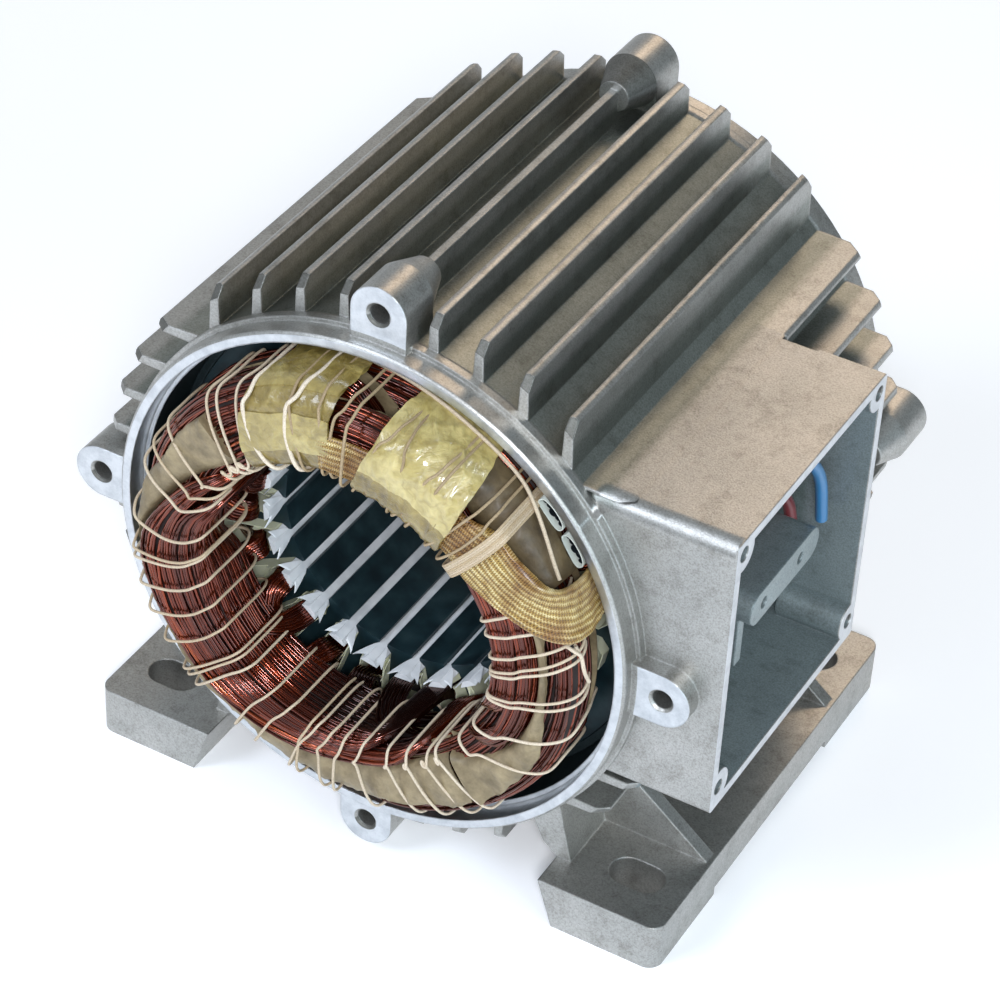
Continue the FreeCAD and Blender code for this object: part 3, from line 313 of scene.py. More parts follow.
def mesh_piece(name, points, faces, material, tones=None, crisp=None):
    """A smooth mesh object. Edges sharper than an angle in degrees are kept crisp."""
    mesh = bpy.data.meshes.new(name)
    mesh.from_pydata(points.tolist(), [], faces.tolist())
    mesh.shade_smooth()
    if tones is not None:
        mesh.attributes.new("tone", "FLOAT", "POINT").data.foreach_set("value", np.asarray(tones, np.float32))
    mesh.update()
    if crisp:
        mesh.set_sharp_from_angle(angle=math.radians(crisp))
    made = bpy.data.objects.new(name, mesh)
    scene.collection.objects.link(made)
    give(made, material)
    return made


def wedge_lines(middle, end):
    """One wedge's sheet as lines from the slot to the collar's ragged edge, outside and inside."""
    rng = random.Random(int(middle * 7) + end)
    lean = rng.uniform(-0.5, 0.5)
    lines = []
    for side in (1, -1):
        for depth in (-2.0, 0.0, 1.0, 2.1, 3.2, 4.3, 5.4, COLLAR + rng.uniform(-0.4, 0.5)):
            flare = max(0.0, depth / COLLAR) ** 0.8
            half = 1.35 + 2.9 * flare
            line = []
            for step in np.linspace(-1, 1, 13):
                across = half * step + lean * flare
                ragged = 0.12 * rng.uniform(-1, 1) if depth > 5 else 0
                notch = 1.6 * (1 - step * step) * max(0.0, (depth - 3.4) / 2.8)
                radius = 37.2 + 0.06 * across ** 2 + 0.3 * flare + side * WEDGE_WALL / 2
                line.append((middle + math.degrees(across / radius), radius, depth - notch + ragged))
            lines.append(line)
        if side > 0:
            lines = lines[::-1]
    return at(lines, end)


# pressed polyester sheet: pale, faintly mottled over 4 mm, and its thin edges let some light through
pale_strip, tree, shader = surface("calendered_polyester_sheet", Roughness=0.34, Base_Color="ccd2d6",
                                   Subsurface_Weight=0.15, Subsurface_Radius=(0.002, 0.002, 0.002))
mottle = add(tree, "TexNoise", add(tree, "TexCoord", out="Object"), Scale=1000 / 4.17)
strip_tone = add(tree, "ValToRGB", mottle, stops=[(0.3, "cdd2d5"), (0.6, "e0e4e6")])
feed(tree, shader.inputs["Base Color"], strip_tone)
give(nodes["slot_wedges"], pale_strip)
parts = [skin(wedge_lines(FIRST + PITCH * slot, end)) for slot in range(SLOTS) for end in (-1, 1)]
collars = mesh_piece("wedge_collars", *joined(parts), pale_strip, crisp=50)
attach(collars, "root")

# Slot liners. A folded channel of pale green insulating film in each slot; its cut end frays into
# ragged tabs round the coil's neck.
LINER_WALL = 0.22
# extruded film: matt pale green, and light glows through the frayed tabs
liner_film, tree, shader = surface("slot_liner_film", Roughness=0.5, Base_Color="d3d6ba",
                                   Subsurface_Weight=0.2, Subsurface_Radius=(0.002, 0.002, 0.001))
give(nodes["slot_liners"], liner_film)


def tab_part(slot, end, side, rng):
    """The free end of one side wall of a liner, curled over towards the shaft."""
    base = rng.uniform(2.2, 2.6)
    reach = 3.8 + rng.uniform(-0.8, 1.2)
    curl = rng.uniform(0.0, 1.4)
    walls = []
    for wall in (0.0, LINER_WALL):
        sheet = []
        for depth in np.linspace(-1, reach, 7):
            row = []
            out = max(0.0, depth / reach)
            for step in np.linspace(0, 1, 8):
                radius = 38.7 + 6.5 * step
                across = side * (base + 0.75 * step + curl * out ** 2 * (1 - step) + wall)
                jag = (0.9 * math.sin(step * 9 + slot) + rng.uniform(-0.3, 0.3)) * out
                row.append((FIRST + PITCH * slot + math.degrees(across / radius),
                            radius - 0.5 * out * (1 - step), depth * (0.75 + 0.25 * step) + jag * 0.5))
            sheet.append(row)
        walls.append(sheet)
    return skin(at(walls[0] + walls[1][::-1], end))


rng = random.Random(11)
parts = [tab_part(slot, end, side, rng) for slot in range(SLOTS) for end in (-1, 1) for side in (-1, 1)]
tabs = mesh_piece("liner_edges", *joined(parts), liner_film, crisp=50)
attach(tabs, "root")


# Winding. Twelve coils of enamelled copper wire in three planes, a long and a short coil in each of two
# groups per phase. Each wire is a tube of its own: it leaves the slot, turns along the shaft's circle,
# and enters the slot at the far side. Wires are drawn where they can be seen, round a solid middle.
WIRE = 0.44                              # wire radius, mm
ROWS, COLUMNS = 8, 11                    # wires from the core to the front and from the bore outwards
PLANES = {                               # back and front beyond the core, and angle where the groups meet
    "u": (9.2, 16.4, 12.0),
    "v": (16.9, 24.2, 72.0),
    "w": (24.8, 31.8, 132.0),
}


def spline(points, steps, closed=False):
    """A smooth line near the points. An open one starts on the first and ends on the last of them."""
    p = np.asarray(points, float)
    if closed:
        p = np.vstack([p[-1:], p, p[:2]])
    else:
        p = np.vstack([2 * p[0] - p[1], p, 2 * p[-1] - p[-2]])
    t = (np.arange(steps) / steps)[:, None, None]
    a, b, c, d = p[:-3], p[1:-2], p[2:-1], p[3:]
    curve = ((1 - t) ** 3 * a + (3 * t ** 3 - 6 * t ** 2 + 4) * b
             + (-3 * t ** 3 + 3 * t ** 2 + 3 * t + 1) * c + t ** 3 * d) / 6
    curve = curve.transpose(1, 0, 2).reshape(-1, p.shape[1])
    return curve if closed else np.vstack([curve, p[-2]])


def tubes(paths, radii, sides=6, closed=False):
    """Round strands along paths, of one radius or one each. Returns points, faces and points' strands."""
    points, faces, owners = [], [], []
    start = 0
    around = np.arange(sides) * 2 * np.pi / sides
    for owner, path in enumerate(paths):
        count = len(path)
        if closed:
            ahead = np.roll(path, -1, 0) - np.roll(path, 1, 0)
        else:
            ahead = np.gradient(path, axis=0)
        ahead /= np.linalg.norm(ahead, axis=1, keepdims=True) + 1e-12
        side = np.cross(ahead[0], (0.3, 0.2, 0.93))
        beside = []
        for direction in ahead:
            side = side - direction * side.dot(direction)
            side = side / np.linalg.norm(side)
            beside.append(side)
        beside = np.array(beside)
        over = np.cross(ahead, beside)
        thick = radii[owner] if np.ndim(radii) else radii
        ring = path[:, None] + thick * (beside[:, None] * np.cos(around)[None, :, None]
                                        + over[:, None] * np.sin(around)[None, :, None])
        points.append(ring.reshape(-1, 3))
        rows = np.arange(count if closed else count - 1)[:, None] * sides
        after = (rows + sides) % (count * sides) if closed else rows + sides
        here = np.arange(sides)[None, :]
        next_one = (here + 1) % sides
        quads = [rows + here, rows + next_one, after + next_one, after + here]
        faces.append(np.stack(quads, -1).reshape(-1, 4) + start)
        owners.append(np.full(count * sides, owner))
        start += count * sides
    return np.vstack(points), np.vstack(faces), np.concatenate(owners)


def lens(angle, boundary, span):
    """0 where a phase's groups meet, rising to 1 over a span of degrees on both sides."""
    from_meeting = abs((angle - boundary + 90) % 180 - 90)
    return np.clip((from_meeting - 6) / span, 0, 1)


def front_width(angle):
    """Outer radius of the front plane: a crescent at lower left, a narrow bank at right."""
    angle = angle % 360
    if 132 <= angle < 312:
        fullest = 16.6 - 1.6 * np.clip((angle - 205) / 30, 0, 1)
        return 42.8 + fullest * lens(angle, 132, 44 if angle < 222 else 75) ** 1.4
    away = (angle + 48) % 360
    narrow = 42.5 + 9.2 * (1 - math.exp(-away / 14))
    wide = 42.8 + 17.2 * lens(angle, 132, 30)
    widening = np.clip((away - 100) / 20, 0, 1)
    return narrow * (1 - widening) + wide * widening


def plane_rise(angle):
    """How far the middle plane stands forward beside the front plane, mm."""
    angle = angle % 360
    room = 1 - np.clip((front_width(angle) - 43) / 14, 0, 1)
    return 5.2 * (max(room, 0.85) if angle > 300 or angle < 60 else room)


def apron(angle):
    """Share by which the front plane hangs down over the inside of the other planes, lower left."""
    angle = angle % 360
    return float(np.clip((angle - 168) / 25, 0, 1) * np.clip((306 - angle) / 18, 0, 1))


def bank(phase, angle):
    """Inner and outer radius, back and front height of a plane at an angle."""
    back, front, boundary = PLANES[phase]
    if phase == "w":
        return 41.3 - 0.9 * apron(angle), front_width(angle), back, front
    if phase == "v":
        outer = 50 + 11.6 * lens(angle, boundary, 16)
        return 41.4 + 1.6 * apron(angle), outer, back, front + plane_rise(angle)
    return 41.6 + 1.6 * apron(angle), 49 + 12.8 * lens(angle, boundary, 24), back, front


def neck(phase, angle, sign, across, deep):
    """Points of one wire from inside its slot to where it joins the end turn."""
    slot_radius = 40.0 + 15.5 * across
    spread = -(deep - 0.5) * 2 * (2.7 + 0.8 * across)
    offset = math.degrees(spread / slot_radius)
    inner, outer, back, front = bank(phase, angle + sign * 14)
    radius = inner + (outer - inner) * across
    height = back + (front - back) * deep
    if phase == "u":
        low = 38.6 + 4.4 * across
        steps = [(offset, slot_radius, -3), (offset, 0.6 * slot_radius + 0.4 * low, 1.2),
                 (offset * 1.1, low, 4.6), (offset * 1.1 + 0.4, low + 0.2, 8.0),
                 (offset + 1.6, low + 0.4 * (radius - low), 0.5 * (8.0 + height)),
                 (6.5, low + 0.8 * (radius - low), height - 0.6)]
    else:
        low = 38.7 + 2.6 * across
        steps = [(offset, slot_radius, -3), (offset, slot_radius, 0.6),
                 (offset * 1.1, 0.5 * slot_radius + 0.5 * low, 3.4),
                 (offset * 1.2 + 0.4, low, 7.5), (offset * 1.2 + 1.6, low + 0.2, 0.60 * height),
                 (6.0, low + 0.25 * (radius - low), height - 2.2)]
    return [(angle + sign * turn, radius, height) for turn, radius, height in steps]


def wire_path(phase, first, last, across, deep, wander, end):
    """One wire of an end turn. across runs from the bore outwards and deep from the core to the front."""
    start, finish = FIRST + PITCH * first, FIRST + PITCH * last
    x, y = 2 * across - 1, 2 * deep - 1
    size = (abs(x) ** 4 + abs(y) ** 4) ** 0.25 + 1e-9
    squeeze = max(abs(x), abs(y)) / size
    middle = []
    for angle in np.linspace(start + 13, finish - 13, int(round((finish - start - 26) / 8)) + 1):
        inner, outer, back, front = bank(phase, angle)
        drift = wander(angle)
        if phase == "w":
            back -= 14.5 * apron(angle) * (1 - across) ** 3
        middle.append((angle, (inner + outer) / 2 + x * squeeze * (outer - inner) / 2 + drift[0],
                       (back + front) / 2 + y * squeeze * (front - back) / 2 + drift[1]))
    far_neck = neck(phase, finish, -1, across, deep)
    return at(spline(neck(phase, start, 1, across, deep) + middle + far_neck[::-1], 2), end)


def wanderer(rng, reach):
    """A slow random drift in radius and height along the turn."""
    phases = [rng.uniform(0, 6.283) for _ in range(4)]
    rates = [rng.uniform(0.03, 0.09) for _ in range(4)]

    def wave(angle, one, other):
        return (math.sin(angle * rates[one] + phases[one])
                + 0.6 * math.sin(angle * rates[other] * 2 + phases[other]))
    return lambda angle: (reach * wave(angle, 0, 1), reach * 0.7 * wave(angle, 2, 3))


def wire_cells(phase, kind, low, high, end):
    """Places of a coil's wires that can be seen, as shares from the bore outwards and to the front."""
    cells = []
    for column in range(COLUMNS):
        across = low + (high - low) * (column + 0.5) / COLUMNS
        edge = column == 0 or (kind == "long" and column == COLUMNS - 1)
        for row in range(ROWS):
            if row >= ROWS - 2 or edge or (phase == "u" and row == 0):
                shift = 0.25 / COLUMNS if row % 2 else -0.25 / COLUMNS
                cells.append((across + shift * (high - low), (row + 0.5) / ROWS))
    if phase == "w" and kind == "short" and end < 0:
        cells += [(0.016 + 0.012 * (step % 2), step / 25) for step in range(26)]
    return cells


def in_shadow(points):
    """Share by which the necks below the front plane, at the bottom of the bore, are darkened with painted
    shade.
    """
    turn = np.degrees(np.arctan2(points[:, 2] - SHAFT * 0.001, points[:, 0])) % 360
    radius = 1000 * np.hypot(points[:, 0], points[:, 2] - SHAFT * 0.001)
    share = np.clip((turn - 246) / 14, 0, 1) * np.clip((306 - turn) / 10, 0, 1)
    share *= np.clip((50 - radius) / 4, 0, 1)
    return share * (points[:, 1] < 0) * np.clip((79 + 1000 * points[:, 1]) / 5, 0, 1)


# drawn wire under two coats of varnish: bright glints, red-brown between, and each wire in its own tone
wire_copper, tree, shader = surface("enamelled_copper_wire", Metallic=0.85, Roughness=0.17, Coat_Weight=0.8,
                                    Coat_Roughness=0.06, Coat_Tint="ffd6b8")
tone = add(tree, "Attribute", attribute_name="tone", out="Fac")
shade = add(tree, "ValToRGB", tone,
            stops=[(0.0, "2a0f08"), (0.45, "5c2513"), (0.8, "8a4120"), (1.0, "c4723e")])
feed(tree, shader.inputs["Base Color"], shade)
# the solid middle shows only between the wires, where no light reaches, and is painted near black as shade
copper_core_painted_shade = surface("enamelled_copper_in_shadow", Metallic=0.0, Roughness=0.7, Base_Color="180b07")[0]
rng = random.Random(5)
for order, phase in enumerate("uvw"):
    for group in (0, 1):
        for kind, inset, low, high in (("long", 0, 0.5, 1.0), ("short", 1, 0.0, 0.5)):
            first = 1 + 4 * order + 12 * group + inset
            last = first + 11 - 2 * inset
            paths, tones = [], []
            for end in (-1, 1):
                for across, deep in wire_cells(phase, kind, low, high, end):
                    reach = 0.22 if rng.random() < 0.75 else 0.65
                    paths.append(wire_path(phase, first, last, across, deep, wanderer(rng, reach), end))
                    tones.append(min(1, max(0, rng.gauss(0.48, 0.15))))
            points, faces, owners = tubes(paths, WIRE * 0.001)
            # painted shade on the necks at the bottom of the bore
            tones = np.array(tones)[owners] * (1 - 0.92 * in_shadow(points))
            parts = [(points, faces)]
            for end in (-1, 1):
                outline = []
                for step in range(12):
                    x, y = math.cos(step * math.pi / 6), math.sin(step * math.pi / 6)
                    most = max(abs(x), abs(y))
                    across, deep = (low + high) / 2 + 0.46 * (high - low) * x / most, 0.5 + 0.41 * y / most
                    outline.append(wire_path(phase, first, last, across, deep, lambda angle: (0, 0), end))
                parts.append(skin(outline))
            wires = len(faces)
            points, faces = joined(parts)
            tones = np.concatenate([tones, np.zeros(len(points) - len(tones))])
            coil = mesh_piece(f"winding_{phase}{group + 1}_{kind}", points, faces, wire_copper, tones=tones)
            coil.data.materials.append(copper_core_painted_shade)
            which = (np.arange(len(faces)) >= wires).astype(np.int32)
            coil.data.polygons.foreach_set("material_index", which)
            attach(coil, "root")
            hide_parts(f"coil_{phase}{group + 1}_{kind}")


# Phase papers. Sheets of tan insulating paper between the planes of the end winding. At the front they
# come out beyond the front plane, bulge over the plane behind and are creased by the lacing.
INNER_EDGE = 43.9                        # radius of the papers' inner edge, mm
PAPER_WALL = 0.28
PAPER_SPAN = 178.5                       # degrees that one sheet covers


def crease(*place):
    """A ridged noise from 0 to 1 with sharp tops, for folds in tape and paper."""
    return (1 - min(1.0, 2.2 * abs(noise.noise(Vector(place))))) ** 2


def paper_profile(phase, angle, end):
    """Radius and height of a paper's middle line, from the inner edge outwards."""
    level = PLANES[phase][0] - PAPER_WALL
    if phase == "v" or end > 0:
        edge = 61.4 + 0.5 * math.sin(angle * 0.11)
        if end < 0:
            edge = min(edge, bank("v", angle)[1] - 0.3)
        return [(INNER_EDGE + share * (edge - INNER_EDGE), level - 0.3 * (share == 1))
                for share in (0, 0.2, 0.5, 0.8, 1)]
    side = front_width(angle)
    rise = 24.2 + plane_rise(angle)
    far = angle % 360
    if far < 60 or far > 312:
        if 28 < far < 60:
            return [(INNER_EDGE, level), (side - 4, level), (side + 0.4, level + 0.4),
                    (side + 1.0, rise + 0.6), (57, rise + 1.4), (61.4, rise - 0.6), (63.0, rise - 4.5),
                    (63.2, rise - 9)]
        narrow = np.clip(((far + 48) % 360 - 26) / 16, 0, 1)
        reach = 58.4 * (1 - narrow) + (side + 3.6) * narrow
        return [(INNER_EDGE, level), (side - 4, level), (side + 0.5, level + 0.4), (side + 1.1, rise - 1.5),
                (side + 1.5, rise + 1.2), (0.6 * side + 0.4 * reach + 0.9, rise + 2.0),
                (reach - 0.2, rise + 1.2), (reach, rise + 0.6)]
    if far < 135:
        return [(INNER_EDGE, level)] + [(radius, level) for radius in range(46, 60, 2)]
    over_side = np.clip((far - 158) / 12, 0, 1) * np.clip((282 - far) / 10, 0, 1)
    inner = min(side + 0.6, 60.0)
    bulge = 0.5 * (inner + 57.6)
    loose = [(INNER_EDGE, level), (inner - 3, level), (inner, level + 0.3), (inner + 0.9, rise + 0.7),
             (max(bulge, inner + 1.6), rise + 1.9), (max(56.8, inner + 2.2), rise + 1.4),
             (max(57.8, inner + 2.6), rise + 0.5), (max(57.9, inner + 2.7), rise - 0.5)]
    wrapped = [(INNER_EDGE, level), (inner - 3, level), (inner, level + 0.3), (inner + 0.3, 28.6),
               (0.5 * (inner + 60.6), 29.6), (61.1, 27.6), (61.8, 24.0), (61.8, 17)]
    return [tuple(one * (1 - over_side) + other * over_side for one, other in zip(a, b))
            for a, b in zip(loose, wrapped)]


def paper_side(phase, order, group, end, angles, wall):
    """One side of a sheet, as lines along the ring. Only the front sheets of the front plane are creased."""
    loose = 1.0 if phase == "w" and end < 0 else 0.0
    rows = []
    for angle in angles:
        profile = spline(paper_profile(phase, angle, end), 4)
        steps = np.linspace(0, 1, len(profile))
        fold = np.array([crease(angle * 0.09, 2.0 * s, 3.7 * order + group)
                         + 0.5 * crease(angle * 0.26, 4.0 * s, 9.1 * order + group) for s in steps])
        free = np.clip((steps - 0.45) * 4, 0, 1) * loose
        drift = 0.9 * (fold - 0.35) * free
        ragged = 0.6 * noise.noise(Vector((angle * 0.35, group, order))) * (steps > 0.9) * free
        rows.append(np.column_stack([np.full(len(profile), angle), profile[:, 0] + 0.45 * drift + ragged,
                                     profile[:, 1] + drift + wall]))
    return np.array(rows).transpose(1, 0, 2)


# pressed fibre paper: matt tan and cloudy over 8 mm, with a painted shade on the upper right near the sleeve;
# its nap of 0.1 mm is drawn at 0.67 mm so that it shows
phase_sheet, tree, shader = surface("creased_insulating_paper", Roughness=0.62, Coat_Weight=0.25,
                                    Coat_Roughness=0.35)
place = add(tree, "TexCoord", out="Object")
x, z = (add(tree, "SeparateXYZ", place, out=axis) for axis in "XZ")
cloud = add(tree, "TexNoise", place, Scale=1000 / 7.69, Detail=5.0, Roughness=0.65)
fibre = add(tree, "TexNoise", place, Scale=1000 / 0.667, Detail=2.0)
paper_tone = add(tree, "ValToRGB", cloud, stops=[(0.3, "5f5239"), (0.5, "817255"), (0.7, "9f8f6e")])
# painted shade: the papers on the upper right, near the sleeve, are darkened
sleeve_side_painted_shade = zone(tree, (x, 0.028, 0.012), (z, 0.116, 0.008))
feed(tree, shader.inputs["Base Color"], add(tree, "Mix", sleeve_side_painted_shade, paper_tone, "a89f90", **TIMES))
relief(tree, shader, (cloud, 0.0012, 0.5), (fibre, 0.00008, 0.5))
for order, phase in ((1, "v"), (2, "w")):
    for group in (0, 1):
        start = FIRST + PITCH * (1 + 4 * order + 12 * group - 0.45)
        for end, side_name in ((-1, "front"), (1, "rear")):
            angles = np.linspace(start, start + PAPER_SPAN, 210 if phase == "w" and end < 0 else 110)
            front, back = (paper_side(phase, order, group, end, angles, wall)
                           for wall in (PAPER_WALL / 2, -PAPER_WALL / 2))
            points, faces = skin(at(np.vstack([front, back[::-1]]), end))
            sheet = mesh_piece(f"paper_{side_name}_{phase}{group + 1}", points, faces, phase_sheet, crisp=50)
            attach(sheet, "root")
            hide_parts(f"phase_paper_{side_name}_{phase}{group + 1}")


# Tape wraps. Varnished cloth tape, yellow-green and glossy, laid over the joints in several turns. The
# left one lies in flat layers with their edges along the ring, the right one is crumpled over the sleeve.
TAPE_WALL = 0.22


def bundle_contour(lift):
    """Radius and height round the bundle from the bore over its face to its rim, with its normals."""
    contour = spline([(41.1, 12.5), (40.7, 20), (40.6, 27.0 + lift), (41.4, 31.0 + lift), (44.0, 33.1 + lift),
                      (50, 33.4 + lift), (55, 33.3 + 0.9 * lift), (59.4, 32.3 + 0.6 * lift),
                      (62.4, 29.0 + 0.4 * lift), (63.1, 24), (63.1, 18), (63.0, 12.5)], 8)
    ahead = np.gradient(contour, axis=0)
    ahead /= np.linalg.norm(ahead, axis=1, keepdims=True)
    length = np.concatenate([[0], np.cumsum(np.linalg.norm(np.diff(contour, axis=0), axis=1))])
    return contour, np.column_stack([-ahead[:, 1], ahead[:, 0]]), length / length[-1]


def wrap_piece(name, ends, layers, lift, crumple, seed):
    """Tape layers. ends gives the low and high angle from the inner to the outer rim of the bundle, and
    a layer is the share of the way round that it covers, its height off the copper and its tone."""
    contour, outward, share = bundle_contour(lift)
    stations = np.linspace(0, 1, len(ends))
    lows, highs = zip(*ends)

    def tape_point(column, row, low_share, high_share, height, number, wall):
        """Angle, radius and height of one point of a layer, by its shares across and along the tape."""
        edge = 0.02 * noise.noise(Vector((column * 3.1, number, seed)))
        s = low_share + edge + (high_share - low_share + 0.5 * edge) * row
        s = min(1.0, max(0.0, s))
        low, high = np.interp(s, stations, lows), np.interp(s, stations, highs)
        torn = 0.8 * noise.noise(Vector((s * 14, seed, number)))
        angle = (low - torn) + (high - low + 2 * torn) * column
        calm = 0.25 + 0.75 * min(1.0, max(0.0, (s - 0.28) / 0.15))
        fold = crumple * calm * (crease(angle * 0.16 + 2 * s, 5 * s, seed)
                                 + 0.45 * crease(angle * 0.3, 9 * s - angle * 0.1, seed + 3.0))
        ripple = 0.10 * math.sin(44 * s + 2.5 * noise.noise(Vector((angle * 0.1, s * 3, seed))))
        off = height + fold + ripple * (1 - crumple) + (0 if column in (0.0, 1.0) else wall)
        return (angle, np.interp(s, share, contour[:, 0]) + off * np.interp(s, share, outward[:, 0]),
                np.interp(s, share, contour[:, 1]) + off * np.interp(s, share, outward[:, 1]))

    columns, rows = np.linspace(0, 1, 64), np.linspace(0, 1, 58)
    parts, tones = [], []
    for number, (low_share, high_share, height, tone) in enumerate(layers):
        top, under = (np.array([[tape_point(column, row, low_share, high_share, height, number, wall)
                                 for column in columns] for row in rows]) for wall in (0.0, -TAPE_WALL))
        parts.append(skin(at(np.vstack([top, under[::-1]]))))
        tones.append(np.full(len(parts[-1][0]), tone))
    made = mesh_piece(name, *joined(parts), varnished_tape, tones=np.concatenate(tones), crisp=60)
    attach(made, "root")
    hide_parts(name.replace("cloth_", "tape_wrap_"))


# varnished cloth: a wet gloss over creases, cloudy yellow-green over 14 mm, with darker worn spots; its
# threads of 0.2 mm are drawn at 0.39 mm so that they show
varnished_tape, tree, shader = surface("varnished_cloth_tape", Roughness=0.33, Coat_Weight=0.7,
                                       Coat_Roughness=0.1, Subsurface_Weight=0.12,
                                       Subsurface_Radius=(0.003, 0.002, 0.001))
place = add(tree, "TexCoord", out="Object")
cloud = add(tree, "TexNoise", place, Scale=1000 / 14.3, Detail=5.0, Roughness=0.6, Distortion=1.2)
wear = add(tree, "TexNoise", place, Scale=1000 / 2.38, Detail=4.0, Distortion=0.8)
thread = add(tree, "TexNoise", place, Scale=1000 / 0.385, Detail=1.0)
layer_tone = add(tree, "Attribute", attribute_name="tone", out="Fac")
shade = add(tree, "ADD", add(tree, "MULTIPLY", cloud, 0.6), add(tree, "MULTIPLY", layer_tone, 0.4))
tape_tone = add(tree, "ValToRGB", shade,
                stops=[(0.2, "4f3f18"), (0.38, "84723a"), (0.55, "a8975a"), (0.75, "c9ba82")])
worn = add(tree, "ValToRGB", wear, stops=[(0.3, "a3986a"), (0.6, "ffffff")])
feed(tree, shader.inputs["Base Color"], add(tree, "Mix", 0.5, tape_tone, worn, **TIMES))
relief(tree, shader, (cloud, 0.0016, 0.8), (wear, 0.0004, 0.8), (thread, 0.00006, 0.6))
wrap_piece("cloth_left", [(94.5, 126), (94, 127), (93, 125), (93.5, 119), (92, 113), (92, 112)],
           [(0.0, 1.0, 0.0, 0.3), (0.2, 0.47, 0.35, 0.12), (0.43, 0.6, 0.65, 0.51), (0.57, 0.74, 0.3, 0.21),
            (0.7, 0.99, 0.55, 0.39)], 0.2, 0.2, 1.7)
wrap_piece("cloth_right", [(48, 89), (49, 88), (52, 84), (55, 80.5), (57.5, 79.5), (59, 79)],
           [(0.0, 1.0, 0.0, 0.5), (0.12, 0.52, 0.3, 0.2), (0.48, 0.95, 0.35, 0.85)], 2.4, 0.65, 6.2)


# Lead sleeve. A flat woven sleeve of golden glass yarn with the leads inside. It comes out from under
# the tape, crosses the face of the bundle and folds over its rim into the gap to the frame.
RIBS = 9                                 # ribs across the sleeve
RIB_PITCH, YARN_PITCH = 1.75, 0.62       # across and along the sleeve, mm


def sleeve_mesh(stations, sides=96):
    """A flattened tube through stations of inner edge, outer edge and half thickness. Returns its points,
    its faces, and the place of each point on the flat cloth in millimetres."""
    rows = spline(stations, 6)
    low, high = at(rows[:, :3]) * 1000, at(rows[:, 3:6]) * 1000
    middle = (low + high) / 2
    ahead = np.gradient(middle, axis=0)
    length = np.concatenate([[0], np.cumsum(np.linalg.norm(np.diff(middle, axis=0), axis=1))])
    points, flats = [], []
    for number, half in enumerate(rows[:, 6]):
        along = length[number]
        across = high[number] - low[number]
        width = np.linalg.norm(across)
        across = across / width
        lift = np.cross(across, ahead[number])
        lift = lift / np.linalg.norm(lift)
        folded = np.clip(number / len(rows) * 5 - 2.6, 0, 1)
        wave = 1 + 0.13 * folded * math.sin(along * 2 * math.pi / 2.3 + 2 * math.sin(along * 0.4))
        stray = 0.03 * noise.noise(Vector((along * 0.2, 3.0, 7.0)))
        for turn in np.arange(sides) * 2 * math.pi / sides:
            flatness = np.sign(math.cos(turn)) * abs(math.cos(turn)) ** 0.8
            swell = np.sign(math.sin(turn)) * abs(math.sin(turn)) ** 0.45
            u = flatness * width / 2
            rib = 0.17 * math.cos((u / width + stray) * 2 * math.pi * RIBS) * abs(swell)
            bend = (0.5 * noise.noise(Vector((along * 0.16, u * 0.3, RIBS)))
                    + 0.12 * noise.noise(Vector((along * 0.9, u * 1.1, 2.0))))
            raised = half * swell * wave + rib * np.sign(swell) + bend
            points.append(middle[number] + across * u + lift * raised)
            flats.append((u, along))
    grid = np.array(points).reshape(len(rows), sides, 3).transpose(1, 0, 2)
    flats = np.array(flats).reshape(len(rows), sides, 2).transpose(1, 0, 2)
    points, faces = skin(grid * 0.001)
    return points, faces, flats.reshape(-1, 2)


# glass yarn, woven in flat ribs: golden, with a painted highlight on each yarn, painted shade between the
# yarns, and browner patches
woven_yarn, tree, shader = surface("woven_glass_yarn_sleeve", Roughness=0.38, Coat_Weight=0.45,
                                   Coat_Roughness=0.25)
cloth = add(tree, "UVMap", uv_map="cloth", out="UV")
across, along = (add(tree, "SeparateXYZ", cloth, out=axis) for axis in "XY")
place = add(tree, "TexCoord", out="Object")
wobble = add(tree, "TexNoise", place, Scale=1000 / 3.33, Detail=3.0)
patch = add(tree, "TexNoise", place, Scale=1000 / 13.3, Detail=3.0)
shifted = add(tree, "MULTIPLY_ADD", wobble, 0.5, across)
rib_turn = add(tree, "MULTIPLY", shifted, 2 * math.pi / RIB_PITCH)
yarn_turn = add(tree, "MULTIPLY", along, 2 * math.pi / YARN_PITCH)
hatch = add(tree, "SINE", add(tree, "ADD", rib_turn, yarn_turn))
counter = add(tree, "SINE", add(tree, "SUBTRACT", add(tree, "MULTIPLY", rib_turn, 2.0), yarn_turn))
yarns = add(tree, "MAXIMUM", hatch, add(tree, "MULTIPLY", counter, 0.7))
raised = add(tree, "ADD", yarns, add(tree, "MULTIPLY", add(tree, "SINE", rib_turn), 0.8))
weave = add(tree, "MULTIPLY_ADD", raised, 0.28, 0.5, use_clamp=True)
# painted highlight and shade: the yarns' tops are pale and the hollows between them dark brown
tone = add(tree, "ValToRGB", weave,
           stops=[(0.15, "6a4c1c"), (0.4, "a0803a"), (0.7, "c6a75c"), (0.95, "efe2b0")])
tint = add(tree, "ValToRGB", wobble, stops=[(0.3, "c2a558"), (0.65, "ffffff")])
scorched = add(tree, "ValToRGB", patch, stops=[(0.38, "b08346"), (0.6, "ffffff")])
for share, darker in ((0.7, tint), (0.75, scorched)):
    tone = add(tree, "Mix", share, tone, darker, **TIMES)
feed(tree, shader.inputs["Base Color"], tone)
relief(tree, shader, (weave, 0.0006, 1.0), (wobble, 0.0008, 0.6))

